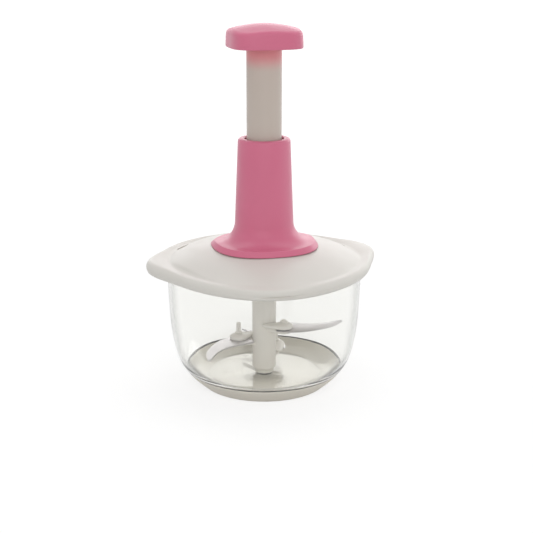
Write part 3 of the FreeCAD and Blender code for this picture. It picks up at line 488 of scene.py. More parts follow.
def link_outline(x0, y0, r0, x1, y1, r1):
    """Outline of two round ends joined by their outer tangents, seen from above."""
    apart = math.hypot(x1 - x0, y1 - y0)
    heading = math.atan2(y1 - y0, x1 - x0)
    lean = math.acos((r0 - r1) / apart)
    points = []
    for x, y, r, start, end in ((x1, y1, r1, -lean, lean), (x0, y0, r0, lean, 2 * math.pi - lean)):
        for step in range(END_STEPS + 1):
            turn = heading + start + (end - start) * step / END_STEPS
            points.append((x + r * math.cos(turn), y + r * math.sin(turn)))
    return points


def slab(name, outline, low, high, edge, degrees):
    """A flat piece with softened edges from its outline seen from above."""
    middle = Vector((sum(p[0] for p in outline), sum(p[1] for p in outline))) / len(outline)

    def ring(inset, z):
        drawn = []
        for p in outline:
            spoke = Vector(p) - middle
            drawn.append((*(Vector(p) - spoke.normalized() * inset), z))
        return swung(drawn, degrees)
    centre = swung([(*middle, low)], degrees)
    top = swung([(*middle, high)], degrees)
    soft = edge * 0.3
    return skin(name, [centre, ring(edge, low), ring(soft, low + soft), ring(0, low + edge),
                       ring(0, high - edge), ring(soft, high - soft), ring(edge, high), top])


def joined(piece, others, operation):
    """Adds other pieces to the first or cuts them out of it, and leaves one closed skin."""
    for other in others:
        change = piece.modifiers.new("join", "BOOLEAN")
        change.operation = operation
        change.solver = "EXACT"
        change.object = other
    return applied(piece, others)


def applied(piece, spent=()):
    """Turns a piece's modifiers into its mesh and removes the objects that they used."""
    finished = piece.evaluated_get(bpy.context.evaluated_depsgraph_get())
    shape = bpy.data.meshes.new_from_object(finished)
    name = piece.name
    for old in (piece, *spent):
        bpy.data.objects.remove(old)
    return made_piece(name, shape)


# Polypropylene: milk white, slightly translucent, a soft satin from an eroded mould; the blade
# unit is moulded in a brighter grade.
milk_white = moulded(
    "moulded_polypropylene_white", "#dbd8d2", "#d4d1ca", 0.40, 0.05, 0.8, 0.004, 60)
inner_white = moulded(
    "moulded_polypropylene_bright", "#f3f0ea", "#ece8e1", 0.42, 0.05, 0.8, 0.004, 40)
post_outline = rounded([
    (0, BORE_TOP), (COLUMN_BORE, BORE_TOP), (COLUMN_BORE, COLUMN_FOOT, 0.4),
    (COLUMN_R, COLUMN_FOOT, 1.0), (COLUMN_R, COLUMN_TOP, 0.8), (6.6, COLUMN_TOP)])
column_rings = [circle(r, z) for r, z in post_outline]
column_rings += [polar_ring(hexagon_radius, z) for z in (COLUMN_TOP - 0.3, HEX_LOW)]
column_rings.append([(0, 0, HEX_LOW)])
column = skin("post_of_blades", column_rings)
arm_outline = link_outline(0, 0, ARM_ROOT_R, *PIN_AT, ARM_END_R)
arms = [slab("arm", arm_outline, level - ARM_T, level, 0.5, AZIMUTHS[tier])
        for tier, level in LEVELS.items()]
column = joined(column, arms, "UNION")
fit(column, "blade_unit", "white_plastic", inner_white, "blade_column")

# Blades. Three sickles stamped from 1.2 mm stainless sheet, ground thin along the outer curve,
# each held down on its arm by a moulded cap.
BLADE_T = 1.2
BLADE_EDGE = ((9.0, -19.4), (25.0, -21.6), (40.0, -16.3), (54.0, -6.8), (61.2, 3.6))
BLADE_BACK = ((11.5, 1.0), (22.0, -1.4), (35.0, -4.0), (49.0, -0.9), (60.0, 5.4))
GRIND = 4.6  # width of the ground bevel
EDGE_T = 0.12  # what the grinding leaves

# Stainless sheet, ground: bright and cool, with fine marks along the blade, drawn at 1.2 mm.
ground_steel = steel("ground_stainless_steel", "#dddadc", 0.44, 1.2, (0.08, 1, 1))
edge_line, back_line = flowing(BLADE_EDGE, 14), flowing(BLADE_BACK, 14)
for tier, level in LEVELS.items():
    rings = []
    for edge, back in zip(edge_line, back_line):
        across = Vector(back) - Vector(edge)
        bevel = min(GRIND, 0.6 * across.length)
        inner = Vector(edge) + across.normalized() * bevel
        top = level + BLADE_T
        rings.append([(*edge, level), (*edge, level + EDGE_T), (*inner, top), (*back, top),
                      (*back, level)])
    ends = [[tuple(np.mean(rings[i], axis=0))] for i in (0, -1)]
    rings = [swung(ring, AZIMUTHS[tier]) for ring in ends[:1] + rings + ends[1:]]
    fit(skin("sickle_" + tier, rings), "blade_unit", "blade_steel", ground_steel,
        "blade_" + tier)

# Blade caps and pins. Domed caps of the same white plastic press the blades down, and a collared
# pin through cap, blade and arm is heat-staked underneath.
CAP_PLATE, CAP_DOME = 2.0, 2.6
CAP_LOBE = 7.0
CAP_TAIL = (0.5, -12.0, 2.2)  # place and radius of a cap's narrow end
CAP_SIDE = ((0.95, 0), (1.0, 0.25), (1.0, 0.7), (0.985, 0.88), (0.95, 1.0), (0.85, 1), (0.72, 1),
            (0.55, 1), (0.38, 1), (0.2, 1), (0, 1))  # shares of its outline and of its height
PIN_R, COLLAR_R, COLLAR_H = 1.7, 2.8, 1.0
PIN_RISES = {"upper": 0.8, "middle": 7.5, "lower": 7.5}
cap_outline = link_outline(*CAP_TAIL, *PIN_AT, CAP_LOBE)
dome_r = (CAP_LOBE ** 2 + CAP_DOME ** 2) / (2 * CAP_DOME)
for tier, level in LEVELS.items():
    low = level + BLADE_T
    rings = [[(*PIN_AT, low)]]
    for share, lift in CAP_SIDE:
        ring = []
        for x, y in (cap_outline if share else cap_outline[:1]):
            spoke = (Vector((x, y)) - Vector(PIN_AT)) * share
            r = spoke.length
            dome = math.sqrt(dome_r ** 2 - r ** 2) - (dome_r - CAP_DOME) if r < CAP_LOBE else 0
            ring.append((PIN_AT[0] + spoke.x, PIN_AT[1] + spoke.y, low + (CAP_PLATE + dome) * lift))
        rings.append(ring)
    rings = [swung(ring, AZIMUTHS[tier]) for ring in rings]
    fit(skin("cap_" + tier, rings), "blade_unit", "white_plastic", inner_white,
        "blade_clamp_" + tier)
    x, y, _ = swung([(*PIN_AT, 0)], AZIMUTHS[tier])[0]
    foot = level - ARM_T
    collar = low + CAP_PLATE + CAP_DOME
    tip = collar + COLLAR_H + PIN_RISES[tier]
    pin_outline = [
        (0, foot), (PIN_R, foot, 0.3), (PIN_R, collar), (COLLAR_R, collar, 0.25),
        (COLLAR_R, collar + COLLAR_H, 0.35), (PIN_R, collar + COLLAR_H, 0.2), (PIN_R, tip, 0.75),
        (0, tip)]
    fit(lathe("pin_" + tier, pin_outline, (x, y), count=48), "blade_unit", "white_plastic",
        inner_white, "blade_pin_" + tier)

# Lid. A push-on cover moulded in white polypropylene, with two long finger lobes at its sides and
# two broad swells: a low dome with pockets at its foot, and a flange that turns down over the bowl.
LID_R = 80.6
# Swells of the lid, by the angle of their middle in degrees: how much each adds, and its spread.
LOBES = {7.0: (9.3, 16.5), 84.0: (3.7, 25.0), 177.0: (9.2, 16.5), 261.0: (6.4, 31.0)}
# Likewise the pockets in the dome's foot, and where the other forms change.
POCKETS = {20.0: (8.0, 24.0), 140.0: (9.0, 24.0), 203.0: (4.0, 18.0), 322.0: (4.0, 18.0)}
REACHES = {261.0: (6.0, 42.0), 84.0: (4.0, 30.0)}  # where the dome runs on to the edge
RUN_ON = {261.0: (0.52, 42.0)}  # where the flange falls instead of rising
SETTLES = {80.0: (2.0, 52.0)}  # how far the lid's back lies lower
REACH_LIFT = 0.2  # how much higher the dome ends there, per mm that it runs on
FLANGE_SLOPE = 0.286
SLOTS = ((134.0, 147.5), (12.5, 24.5))
SLOT_R, SLOT_HALF, SLOT_DEPTH = 70.8, 0.8, 1.3
PULL_AT, PULL_SPREAD, PULL_DEPTH = 263.0, 13.0, 1.0  # the nail groove under the front lobe
LID_BOTTOM, FLANGE_LOW, FLANGE_TOP = 90.2, 95.7, 99.8
FLANGE_ROUND = 4.8
DOME_FOOT_R, DOME_FOOT_Z = 73.4, 98.2
DOME_HALF_Z = 104.5  # half way out
DOME_FLAT_R, DOME_LOW, DOME_TOP = 38.0, 105.7, 108.2
TOWER_BORE, TOWER_R, TOWER_TOP = 6.9, 9.3, 116.0
STEP_WIDTH = 5.0  # over which the dome falls into a pocket
CREASE = 1.2  # rounds the line where the flange's slope meets its edge
LID_WALL, LID_RIM_WALL = 2.5, 2.0
LINER_R = 70.46  # of the tray that plugs the bowl
LID_COUNT = 2 * AROUND


def swelled(base, swells, angle):
    """A radius with soft swells, each given by its middle, rise and spread in degrees."""
    for middle, (rise, spread) in swells.items():
        away = (angle - middle + 180) % 360 - 180
        base += rise * math.exp(-(away / spread) ** 2)
    return base


def lid_radius(angle):
    """How far the lid's edge lies from the axis."""
    return swelled(LID_R, LOBES, angle)


def soft_min(a, b, blend):
    """The lesser of two heights, with the crease between them rounded off."""
    share = max(0.0, min(1.0, 0.5 + 0.5 * (b - a) / blend))
    return b + (a - b) * share - blend * share * (1 - share)


dome_side = flowing([(DOME_FLAT_R, DOME_TOP), ((DOME_FLAT_R + DOME_FOOT_R) / 2, DOME_HALF_Z),
                     (DOME_FOOT_R, DOME_FOOT_Z)], 12)
dome_radii, dome_heights = zip(*dome_side)


def lid_top(r, angle):
    """Height of the lid's upper face: dome, pockets beside it, sloping flange and rounded edge."""
    further = swelled(0, REACHES, angle)
    span = DOME_FOOT_R - DOME_FLAT_R
    drawn = DOME_FLAT_R + (r - DOME_FLAT_R) * span / (span + further)
    fall = DOME_TOP - float(np.interp(drawn, dome_radii, dome_heights))
    dome = DOME_TOP - fall * (1 - further * REACH_LIFT / (DOME_TOP - DOME_FOOT_Z))
    slope = FLANGE_SLOPE - swelled(0, RUN_ON, angle)
    past_foot = max(r, DOME_FOOT_R) - DOME_FOOT_R - further
    valley = DOME_FOOT_Z + further * REACH_LIFT + past_foot * slope
    foot = DOME_FOOT_R + further - swelled(0, POCKETS, angle)
    share = max(0.0, min(1.0, (r - foot + 0.5 * STEP_WIDTH) / STEP_WIDTH))
    share *= share * (3 - 2 * share)
    inside = max(0.0, FLANGE_ROUND - (lid_radius(angle) - r))
    edge = FLANGE_TOP - (FLANGE_ROUND - math.sqrt(max(0.0, FLANGE_ROUND ** 2 - inside ** 2)))
    height = dome + (soft_min(edge, valley, CREASE) - dome) * share
    if abs(r - SLOT_R) < SLOT_HALF and any(start < angle < end for start, end in SLOTS):
        height -= SLOT_DEPTH
    outward = max(0.0, min(1.0, (r - DOME_FLAT_R) / span))
    return height - swelled(0, SETTLES, angle) * outward * outward


def lid_ring(radius_at, drop=0.0):
    """A ring on the lid's upper face, or at a drop below it, from a radius for each angle."""
    return polar_ring(radius_at, lambda r, angle: lid_top(r, angle) - drop, LID_COUNT)


def side_ring(inset, z, groove=0.0):
    """A ring on the lid's side, let in by an inset, and by a groove at the pull."""
    def radius_at(angle):
        away = (angle - PULL_AT) / PULL_SPREAD
        return lid_radius(angle) - inset - groove * max(0.0, 1 - away * away)
    return polar_ring(radius_at, z, LID_COUNT)


bore = rounded([
    (TOWER_BORE, DOME_LOW), (TOWER_BORE, TOWER_TOP, 0.3), (TOWER_R, TOWER_TOP, 0.5),
    (TOWER_R, DOME_TOP, 0.5), (DOME_FLAT_R, DOME_TOP)], 4)
lid_rings = [circle(r, z, count=LID_COUNT) for r, z in bore]
slot_radii = [SLOT_R + side * (SLOT_HALF + gap)
              for side, gap in ((-1, 0.1), (-1, -0.1), (1, -0.1), (1, 0.1))]
dome_steps = [DOME_FLAT_R + 2.0 * k for k in range(1, 9)] + [55.0 + 0.9 * k for k in range(16)]
dome_steps = [r for r in dome_steps if not slot_radii[0] - 0.3 < r < slot_radii[-1] + 0.3]
for r in sorted(dome_steps + slot_radii + [72.4, DOME_FOOT_R]):
    lid_rings.append(lid_ring(lambda angle: r))
for share in (0.06, 0.14, 0.24, 0.36, 0.5, 0.62, 0.72, 0.8, 0.86, 0.91, 0.95, 0.98, 0.995, 1):
    lid_rings.append(lid_ring(
        lambda angle: DOME_FOOT_R + share * (lid_radius(angle) - DOME_FOOT_R)))
for inset, z, groove in (
        (0.02, 94.6, 0), (0.1, 94.2, 0), (0.15, 93.95, PULL_DEPTH), (0.3, 93.3, PULL_DEPTH),
        (0.45, 92.7, 0), (0.8, 91.9, 0), (1.3, 91.1, 0), (1.8, 90.6, 0), (2.3, 90.3, 0),
        (2.9, LID_BOTTOM, 0), (3.5, 90.3, 0), (3.8, 90.6, 0), (3.9, 91.2, 0), (3.9, 95.0, 0),
        (4.2, 95.55, 0), (4.8, FLANGE_LOW, 0)):
    lid_rings.append(side_ring(inset, z, groove))
lid_rings += [circle(r, FLANGE_LOW, count=LID_COUNT) for r in (74.2, LINER_R)]
for r in (70.3, 68.0, 65.0, 62.0, 58.0, 52.0, 46.0, 40.0):
    lid_rings.append(lid_ring(lambda angle: r, LID_WALL if r < 66 else LID_RIM_WALL))
lid_rings.append(circle(20.0, DOME_LOW, count=LID_COUNT))
fit(skin("cover_of_lid", lid_rings, closed=True), "lid", "white_plastic", milk_white, "lid_shell")

# Liner and seal. A shallow tray of the same polypropylene plugs the bowl under the cover, held by
# four screws; a lipped ring of translucent silicone sits in the groove round it.
LINER_LOW, LINER_FLOOR, LINER_TOP = 87.0, 89.4, 93.0
LINER_BORE, LINER_HUB_R, LINER_HUB_TOP = 9.5, 12.5, 96.0
LINER_INNER_R = 66.06
GROOVE_R, GROOVE_LOW, GROOVE_TOP = 68.26, 88.4, 91.6
SEAL_INNER_R, SEAL_R, SEAL_LOW, SEAL_TOP = 68.46, 71.0, 88.6, 91.4
liner_outline = [
    (LINER_BORE, LINER_LOW), (LINER_R, LINER_LOW, 1.0), (LINER_R, GROOVE_LOW, 0.2),
    (GROOVE_R, GROOVE_LOW), (GROOVE_R, GROOVE_TOP), (LINER_R, GROOVE_TOP, 0.2),
    (LINER_R, LINER_TOP, 0.4), (LINER_INNER_R, LINER_TOP, 0.4), (LINER_INNER_R, LINER_FLOOR, 1.5),
    (LINER_HUB_R, LINER_FLOOR, 1.0), (LINER_HUB_R, LINER_HUB_TOP, 0.4), (LINER_BORE, LINER_HUB_TOP)]
fit(lathe("tray_of_lid", liner_outline, closed=True), "lid", "white_plastic", milk_white,
    "lid_liner")
# Silicone: milky, rubbery and slightly translucent, with a matt skin.
silicone = moulded(
    "moulded_silicone", "#e4e3de", "#dad9d3", 0.5, 0.05, 0.6, 0.01, 25,
    Subsurface_Weight=0.2, Subsurface_Scale=0.002)
seal_outline = [
    (SEAL_INNER_R, SEAL_LOW), (70.3, SEAL_LOW, 0.3), (SEAL_R, SEAL_LOW + 0.5, 0.3),
    (70.5, 89.8, 0.2), (SEAL_R, 90.6, 0.3), (70.3, SEAL_TOP, 0.3), (SEAL_INNER_R, SEAL_TOP)]
fit(lathe("ring_of_seal", seal_outline, closed=True, steps=3), "lid", "seal_silicone",
    silicone, "lid_seal")

# Drive under the cover. A toothed coupler of acetal turns in a bush in the tray and reaches down
# into the column with its hexagonal stub; a toothed dog on the twisted strip meets it from above.
for name, node, inner, outer, low, high, foot_round in (
        ("bush_of_tray", "coupler_bush", 7.06, 9.46, LINER_LOW, 96.2, 0.3),
        ("bearing_of_rod", "rod_bearing", 4.66, 6.86, DOME_LOW, TOWER_TOP, 0.2)):
    outline = [(inner, low), (outer, low, foot_round), (outer, high, 0.3), (inner, high)]
    fit(lathe(name, outline, closed=True, steps=3, count=SMALL_AROUND), "lid", "bearing_plastic",
        acetal, node)


def dressed(material, *nodes):
    """Gives solids that keep their shape their finish."""
    for node in nodes:
        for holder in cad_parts[node].material_slots:
            holder.material = material


dressed(acetal, "drive_coupler", "clutch_dog", "drive_nut")

# Screws. Pan-head stainless screws with a cross recess and a coarse thread for plastic: four under
# the tray, four under the dome into the neck, one in the strip's end, and three up in the knob.
SCREW_R, SCREW_ROOT, HEAD_R, HEAD_H = 1.5, 1.15, 2.8, 1.8
RECESS_HALF_W, RECESS_HALF_L, RECESS_DEPTH = 0.4, 1.6, 1.0
THREAD_STEP = 0.55
HUB_R, HUB_TOP = 16.04, 265.8  # of the knob's hub, which three of them sit in


def pan_head(length):
    """A screw along +Z whose head bears on z = 0."""
    outline = [(0, -HEAD_H), (1.9, -HEAD_H, 0.2), (HEAD_R, -HEAD_H + 0.7, 0.5), (HEAD_R, 0, 0.15),
               (SCREW_ROOT, 0)]
    z = 0.5
    while z < length - 1:
        outline += [(SCREW_ROOT, z), (SCREW_R, z + 0.2), (SCREW_ROOT, z + 0.4)]
        z += THREAD_STEP
    outline += [(SCREW_ROOT, length - 0.6), (0.3, length), (0, length)]
    body = lathe("screw", outline, count=32, steps=3)
    cutters = []
    for x, y in ((RECESS_HALF_W, RECESS_HALF_L), (RECESS_HALF_L, RECESS_HALF_W)):
        plan = [(-x, -y), (x, -y), (x, y), (-x, y)]
        cutters.append(slab("cutter", plan, -HEAD_H - 1, -HEAD_H + RECESS_DEPTH, 0.02, 0))
    return joined(body, cutters, "DIFFERENCE")


def grown(name, tree, values):
    """The plain mesh that a Geometry Nodes tree makes from its named inputs."""
    seed = in_scene(name, bpy.data.meshes.new(name))
    change = seed.modifiers.new("grow", "NODES")
    change.node_group = tree
    for item in tree.interface.items_tree:
        if item.in_out == "INPUT" and item.name in values:
            change[item.identifier] = values[item.name]
    return applied(seed)


def new_tree(name, **inputs):
    """A geometry tree with named inputs of each kind, and the sockets that hand them out."""
    tree = bpy.data.node_groups.new(name, "GeometryNodeTree")
    tree.interface.new_socket("Geometry", in_out="OUTPUT", socket_type="NodeSocketGeometry")
    for kind, labels in inputs.items():
        for label in labels:
            tree.interface.new_socket(label, in_out="INPUT", socket_type="NodeSocket" + kind)
    return tree, add(tree, "NodeGroupInput").outputs


def hand_out(tree, geometry, material):
    """Ends a tree with real, finished geometry."""
    real = add(tree, "GeometryNodeRealizeInstances", {"Geometry": geometry})
    finished = add(tree, "GeometryNodeSetMaterial", {"Geometry": real, "Material": material})
    add(tree, "NodeGroupOutput", {"Geometry": finished})


tree, given = new_tree("ring_of_screws", Object=["Screw"], Material=["Steel"], Int=["Count"],
                       Float=["Pitch radius", "Start", "Height", "Tilt"])
spots = add(tree, "GeometryNodeMeshLine", {"Count": given["Count"], "Offset": (0, 0, 0)})
index = add(tree, "GeometryNodeInputIndex")
share = add(tree, "Math", {0: math.tau, 1: given["Count"]}, operation="DIVIDE")
turn = add(tree, "Math", {0: index, 1: share, 2: given["Start"]}, operation="MULTIPLY_ADD")
spin = add(tree, "CombineXYZ", {"Y": given["Tilt"], "Z": turn})
out = add(tree, "CombineXYZ", {"X": given["Pitch radius"], "Z": given["Height"]})
place = add(tree, "VectorRotate", {"Vector": out, "Angle": turn}, rotation_type="Z_AXIS")
moved = add(tree, "GeometryNodeSetPosition", {"Geometry": spots, "Position": place})
source = add(tree, "GeometryNodeObjectInfo", {"Object": given["Screw"]}).outputs["Geometry"]
copies = add(tree, "GeometryNodeInstanceOnPoints", {
    "Points": moved, "Instance": source, "Rotation": spin})
hand_out(tree, copies, given["Steel"])

# Bright steel wire, cold headed and thread rolled.
headed_steel = steel("cold_headed_stainless_steel", "#b9b9bc", 0.24, 0.7, (1, 1, 0.2))
for name, node, body, length, count, pitch, start, height, tilt in (
        ("screws_of_tray", "liner_screws", "lid", 9.0, 4, 50.0, 0, LINER_LOW, 0),
        ("screws_of_neck", "neck_screws", "lid", 9.0, 4, 24.5, 45, DOME_LOW, 0),
        ("screws_of_tube", "tube_screws", "plunger", 4.4, 2, HUB_R, 90, 261.6, -90),
        ("screw_of_knob", "knob_screw", "plunger", 6.4, 1, 0, 0, HUB_TOP, 180),
        ("screw_of_dog", "rod_screw", "drive_rod", 9.0, 1, 0, 0, 100.9, 0)):
    one = pan_head(length)
    made = grown(name, tree, {
        "Screw": one, "Count": count, "Pitch radius": pitch * MM, "Start": math.radians(start),
        "Height": height * MM, "Tilt": math.radians(tilt), "Steel": headed_steel})
    bpy.data.objects.remove(one)
    fit(made, body, "steel", headed_steel, node)

# Neck. A tall hand grip of pink ABS with a squarish flared foot, screwed to the dome from below;
# its rounded rim leaves a narrow gap round the sliding tube.
NECK_TOP, NECK_TOP_R, NECK_HOLE_R = 189.7, 19.5, 14.6
NECK_TAPER = 0.0405
NECK_WALL, NECK_MIDDLE = 2.6, 150
RIM_LOW, RIM_INNER_R = 186.1, 16.9
FOOT_Z, FOOT_HALF, FOOT_POWER = 108.4, 40.0, 2.35
FOOT_EDGE = 0.6
BAND_TOP_R, BAND_TOP_Z = 37.4, 112.5  # where the foot's slanted side turns into the flare
FLARE_Z, FLARE_R = 112.6, 12.877
MOUTH_R = 33.5
BACK_FALL, BACK_SHORT = 0.72, 0.12  # how much lower and shorter the foot's far side is
BACK_FROM, BACK_OVER = -5.0, 30.0  # from where, and over what length, it becomes so
FALL_FADES = 14.0  # and up to what height above the foot


def squarish(half, power, z):
    """A rounded square ring; power 2 is a circle."""
    def radius_at(angle):
        turn = math.radians(angle)
        return half / (abs(math.cos(turn)) ** power + abs(math.sin(turn)) ** power) ** (1 / power)
    return polar_ring(radius_at, z)


def fallen_back(ring):
    """Lowers and shortens the far side of the foot, less and less up the flare."""
    moved = []
    for x, y, z in ring:
        share = max(0.0, min(1.0, (y - BACK_FROM) / BACK_OVER))
        share *= share * (3 - 2 * share) * max(0.0, 1 - (z - FOOT_Z) / FALL_FADES)
        moved.append((x, y * (1 - BACK_SHORT * share) if y > 0 else y,
                      FOOT_Z + (z - FOOT_Z) * (1 - BACK_FALL * share)))
    return moved


def neck_radius(z):
    """How far the neck's side lies from the axis at a height."""
    above = min(z - FLARE_Z, FLARE_R)
    return (NECK_TOP_R + NECK_TAPER * (NECK_TOP - z) + FLARE_R
            - math.sqrt(FLARE_R ** 2 - (FLARE_R - above) ** 2))


# ABS: carnation pink, opaque, a satin skin that is a little shinier where hands rub it.
pink_abs = moulded("moulded_abs_pink", "#d3728e", "#cb6985", 0.36, 0.05, 0.8, 0.002, 50)
flare_heights = [FLARE_Z + FLARE_R * (1 - math.cos(math.radians(a))) for a in range(9, 91, 5)]
foot_line = rounded([
    (MOUTH_R, FOOT_Z), (FOOT_HALF, FOOT_Z, 0.35), (FOOT_HALF, FOOT_Z + FOOT_EDGE, 1.0),
    (BAND_TOP_R, BAND_TOP_Z, 1.2), (neck_radius(flare_heights[0]), flare_heights[0])])
neck_rings = [squarish(r, FOOT_POWER, z) for r, z in foot_line]
for z in flare_heights[1:]:
    above = min((z - FLARE_Z) / FLARE_R, 1.0)
    neck_rings.append(squarish(neck_radius(z), 2 + (FOOT_POWER - 2) * (1 - above), z))
bend = FLARE_R + NECK_WALL
centre_r, centre_z = neck_radius(FLARE_Z + 1e-9), FLARE_Z + FLARE_R
neck_line = rounded([
    (neck_radius(NECK_MIDDLE), NECK_MIDDLE), (NECK_TOP_R, NECK_TOP, 2.3),
    (NECK_HOLE_R, NECK_TOP, 1.0), (NECK_HOLE_R, RIM_LOW, 0.4), (RIM_INNER_R, RIM_LOW, 0.6),
    (centre_r - bend, centre_z)])
for degrees in range(6, 70, 7):
    turn = math.radians(degrees)
    neck_line.append((centre_r - bend * math.cos(turn), centre_z - bend * math.sin(turn)))
neck_rings += [circle(r, z) for r, z in neck_line if r < MOUTH_R]
neck_rings.append(circle(MOUTH_R, FOOT_Z + 1.2))
neck_rings = [fallen_back(ring) for ring in neck_rings]
fit(skin("grip_neck", neck_rings, closed=True), "lid", "pink_plastic", pink_abs, "neck_housing")
dressed(pink_abs, "guide_sleeve")

# Return spring. Twenty-four turns of hard drawn steel wire round the strip, with its end turns
# closed; it stands on a steel washer on the lid's tower and presses up under the knob.
SPRING_R, WIRE_R, SPRING_TURNS = 10.3, 0.6, 24
SPRING_LOW, SPRING_HIGH = 109.6, 262.8
END_TURNS, END_PITCH = 1.25, 2.1  # the pitch in wire radii: the end turns all but touch
WASHER_BORE, WASHER_R, WASHER_TOP = 9.34, 11.3, 109.0
tree, given = new_tree("wound_spring", Material=["Steel"], Float=[
    "Coil radius", "Wire radius", "Turns", "Low", "Length", "End share", "End rise"])
spiral = add(tree, "GeometryNodeCurveSpiral", {
    "Resolution": 32, "Rotations": given["Turns"], "Start Radius": given["Coil radius"],
    "End Radius": given["Coil radius"], "Height": 0.0})
along = add(tree, "GeometryNodeSplineParameter").outputs["Factor"]
rest = add(tree, "Math", {0: 1.0, 1: given["End share"]}, operation="SUBTRACT")
twice = add(tree, "Math", {0: given["End rise"], 1: 2.0}, operation="MULTIPLY")
middle = add(tree, "Math", {0: given["Length"], 1: twice}, operation="SUBTRACT")
closed_top = add(tree, "Math", {0: given["Low"], 1: given["End rise"]})
low_end = add(tree, "MapRange", {
    0: along, 1: 0.0, 2: given["End share"], 3: given["Low"], 4: closed_top})
body_rise = add(tree, "MapRange", {0: along, 1: given["End share"], 2: rest, 3: 0.0, 4: middle})
high_end = add(tree, "MapRange", {0: along, 1: rest, 2: 1.0, 3: 0.0, 4: given["End rise"]})
part_way = add(tree, "Math", {0: low_end, 1: body_rise})
height = add(tree, "Math", {0: part_way, 1: high_end})
lifted_by = add(tree, "CombineXYZ", {"Z": height})
wound = add(tree, "GeometryNodeSetPosition", {"Geometry": spiral, "Offset": lifted_by})
section = add(tree, "GeometryNodeCurvePrimitiveCircle", {
    "Resolution": 10, "Radius": given["Wire radius"]})
wire = add(tree, "GeometryNodeCurveToMesh", {
    "Curve": wound, "Profile Curve": section, "Fill Caps": True})
hand_out(tree, wire, given["Steel"])
# Spring wire: drawn, bright grey, with a film of grease that keeps it smooth.
spring_wire = steel("drawn_spring_steel", "#a9a9ac", 0.28, 0.8, (1, 1, 1))
spring = grown("wound_spring", tree, {
    "Coil radius": SPRING_R * MM, "Wire radius": WIRE_R * MM, "Turns": float(SPRING_TURNS),
    "Low": SPRING_LOW * MM, "Length": (SPRING_HIGH - SPRING_LOW) * MM,
    "End share": END_TURNS / SPRING_TURNS, "End rise": END_TURNS * END_PITCH * WIRE_R * MM,
    "Steel": spring_wire})
fit(spring, "lid", "steel", spring_wire, "return_spring")
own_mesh(spring)
washer_outline = [
    (WASHER_BORE, DOME_TOP), (WASHER_R, DOME_TOP, 0.1), (WASHER_R, WASHER_TOP, 0.2),
    (WASHER_BORE, WASHER_TOP)]
fit(lathe("washer_of_spring", washer_outline, closed=True, steps=3, count=SMALL_AROUND),
    "lid", "steel", turned_steel, "spring_seat")
dressed(turned_steel, "twist_rod")

# Push tube. A straight white tube that slides in the neck, extruded in polypropylene and cut to
# length, with a stop collar welded on at its foot; its top end is painted pink, a painted
# reflection of the light that the knob's pink underside throws on it.
TUBE_R, TUBE_BORE, TUBE_TOP = 13.0, 11.3, 263.4
STOP_R, STOP_LOW, STOP_TOP = 14.94, 173.6, 178.2
# Painted reflection: the knob's pink laid on the tube's top end, from 238 mm up to full at 252 mm.
ivory_tube = moulded(
    "extruded_polypropylene_ivory", "#c2b6ad", "#bbb0a5", 0.36, 0.05, 0.7, 0.006, 80,
    painted_reflection=("#dc8f93", 238.0, 252.0))
tube_outline = [
    (TUBE_BORE, STOP_LOW), (STOP_R, STOP_LOW, 0.5), (STOP_R, STOP_TOP, 0.5),
    (TUBE_R, STOP_TOP, 0.3), (TUBE_R, TUBE_TOP), (TUBE_BORE, TUBE_TOP)]
fit(lathe("sliding_tube", tube_outline, closed=True, steps=4), "plunger", "tube_plastic",
    ivory_tube, "push_tube")

# Knob. A squarish crowned cap of the same pink ABS for the palm, hollow below, snapped and
# screwed onto an insert that grips the tube.
KNOB_TOP, KNOB_BOTTOM, KNOB_HALF, KNOB_POWER = 272.6, 255.6, 26.5, 3.4
KNOB_CROWN, KNOB_ROUND, KNOB_WALL = 4.2, 2.6, 2.4
crown_r = (KNOB_HALF ** 2 + KNOB_CROWN ** 2) / (2 * KNOB_CROWN)


def crowned(half, drop):
    """A rounded square ring that lies on the knob's crown, lowered by drop."""
    ring = []
    for x, y, _ in squarish(half, KNOB_POWER, 0):
        sag = crown_r - math.sqrt(crown_r ** 2 - x * x - y * y)
        ring.append((x, y, KNOB_TOP - sag - drop))
    return ring


knob_rings = [[(0, 0, KNOB_TOP)]]
knob_rings += [crowned(h, 0) for h in (3, 7, 11, 15, 18.5, 21.5, 23.4)]
top_half = KNOB_HALF - 0.25
for degrees in range(0, 91, 10):
    turn = math.radians(degrees)
    knob_rings.append(crowned(top_half - KNOB_ROUND * (1 - math.sin(turn)),
                              KNOB_ROUND * (1 - math.cos(turn))))
for inset, z in ((0.05, 260.0), (0, 256.4), (0.15, 255.85), (0.5, 255.62), (1.2, KNOB_BOTTOM),
                 (2.0, 255.65), (KNOB_WALL, 256.1), (KNOB_WALL, 262.0)):
    knob_rings.append(squarish(KNOB_HALF - inset, KNOB_POWER, z))
inner = KNOB_HALF - KNOB_WALL
knob_rings += [crowned(half, drop) for half, drop in (
    (inner, 3.6), (inner - 0.6, 2.7), (inner - 1.6, KNOB_WALL), (18, KNOB_WALL), (10, KNOB_WALL))]
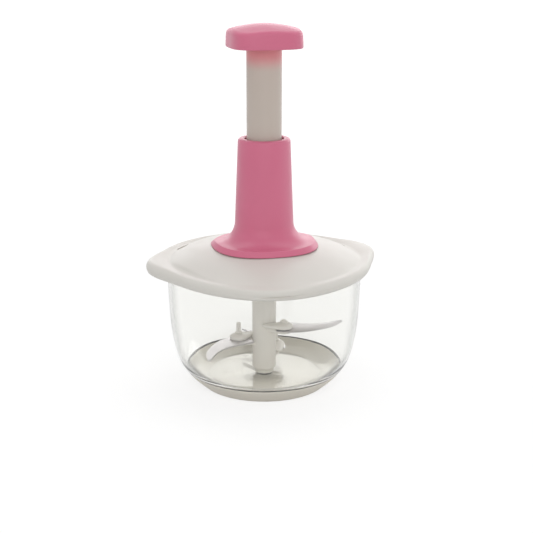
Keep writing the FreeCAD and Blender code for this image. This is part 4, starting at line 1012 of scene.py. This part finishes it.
knob_rings.append([(0, 0, KNOB_TOP - KNOB_WALL)])
fit(skin("palm_knob", knob_rings), "plunger", "pink_plastic", pink_abs, "knob_cap")

# Knob's insert and drive sleeve. A plate of the pink ABS closes the knob from below and grips the
# tube in its hub; the sleeve hangs from it inside the spring and carries the nut on the strip.
PLATE_LOW, PLATE_TOP, PLATE_ROUND_R = 256.4, 258.8, 18.0
SOCKET_R = 13.04  # takes the tube's end
SCREW_HOLE_R = 1.54
SLEEVE_R, SLEEVE_BORE, SLEEVE_LOW, SLEEVE_NECK = 7.2, 5.7, 181.0, 258.4
plate_half = KNOB_HALF - KNOB_WALL - 0.2
hub_inside = rounded([(SCREW_HOLE_R, TUBE_TOP), (SOCKET_R, TUBE_TOP), (SOCKET_R, PLATE_LOW)], 3)
hub_outside = rounded([
    (PLATE_ROUND_R, PLATE_TOP), (HUB_R, PLATE_TOP, 1.0), (HUB_R, HUB_TOP, 0.5),
    (SCREW_HOLE_R, HUB_TOP)], 3)
insert_rings = [circle(r, z) for r, z in hub_inside]
insert_rings += [circle(r, PLATE_LOW) for r in (14.5, PLATE_ROUND_R)]
insert_rings += [squarish(plate_half - inset, KNOB_POWER, z) for inset, z in (
    (3, PLATE_LOW), (0.4, PLATE_LOW), (0, PLATE_LOW + 0.4), (0, PLATE_TOP - 0.3),
    (0.3, PLATE_TOP), (3, PLATE_TOP))]
insert_rings += [circle(r, z) for r, z in hub_outside]
fit(skin("plate_of_knob", insert_rings, closed=True), "plunger", "pink_plastic", pink_abs,
    "knob_insert")
sleeve_outline = [
    (SLEEVE_BORE, SLEEVE_LOW), (SLEEVE_R, SLEEVE_LOW, 0.3), (SLEEVE_R, TUBE_TOP, 0.3),
    (SCREW_HOLE_R, TUBE_TOP, 0.2), (SCREW_HOLE_R, SLEEVE_NECK, 0.2), (SLEEVE_BORE, SLEEVE_NECK)]
fit(lathe("sleeve_of_drive", sleeve_outline, closed=True, steps=3, count=SMALL_AROUND), "plunger",
    "tube_plastic", ivory_tube, "drive_sleeve")
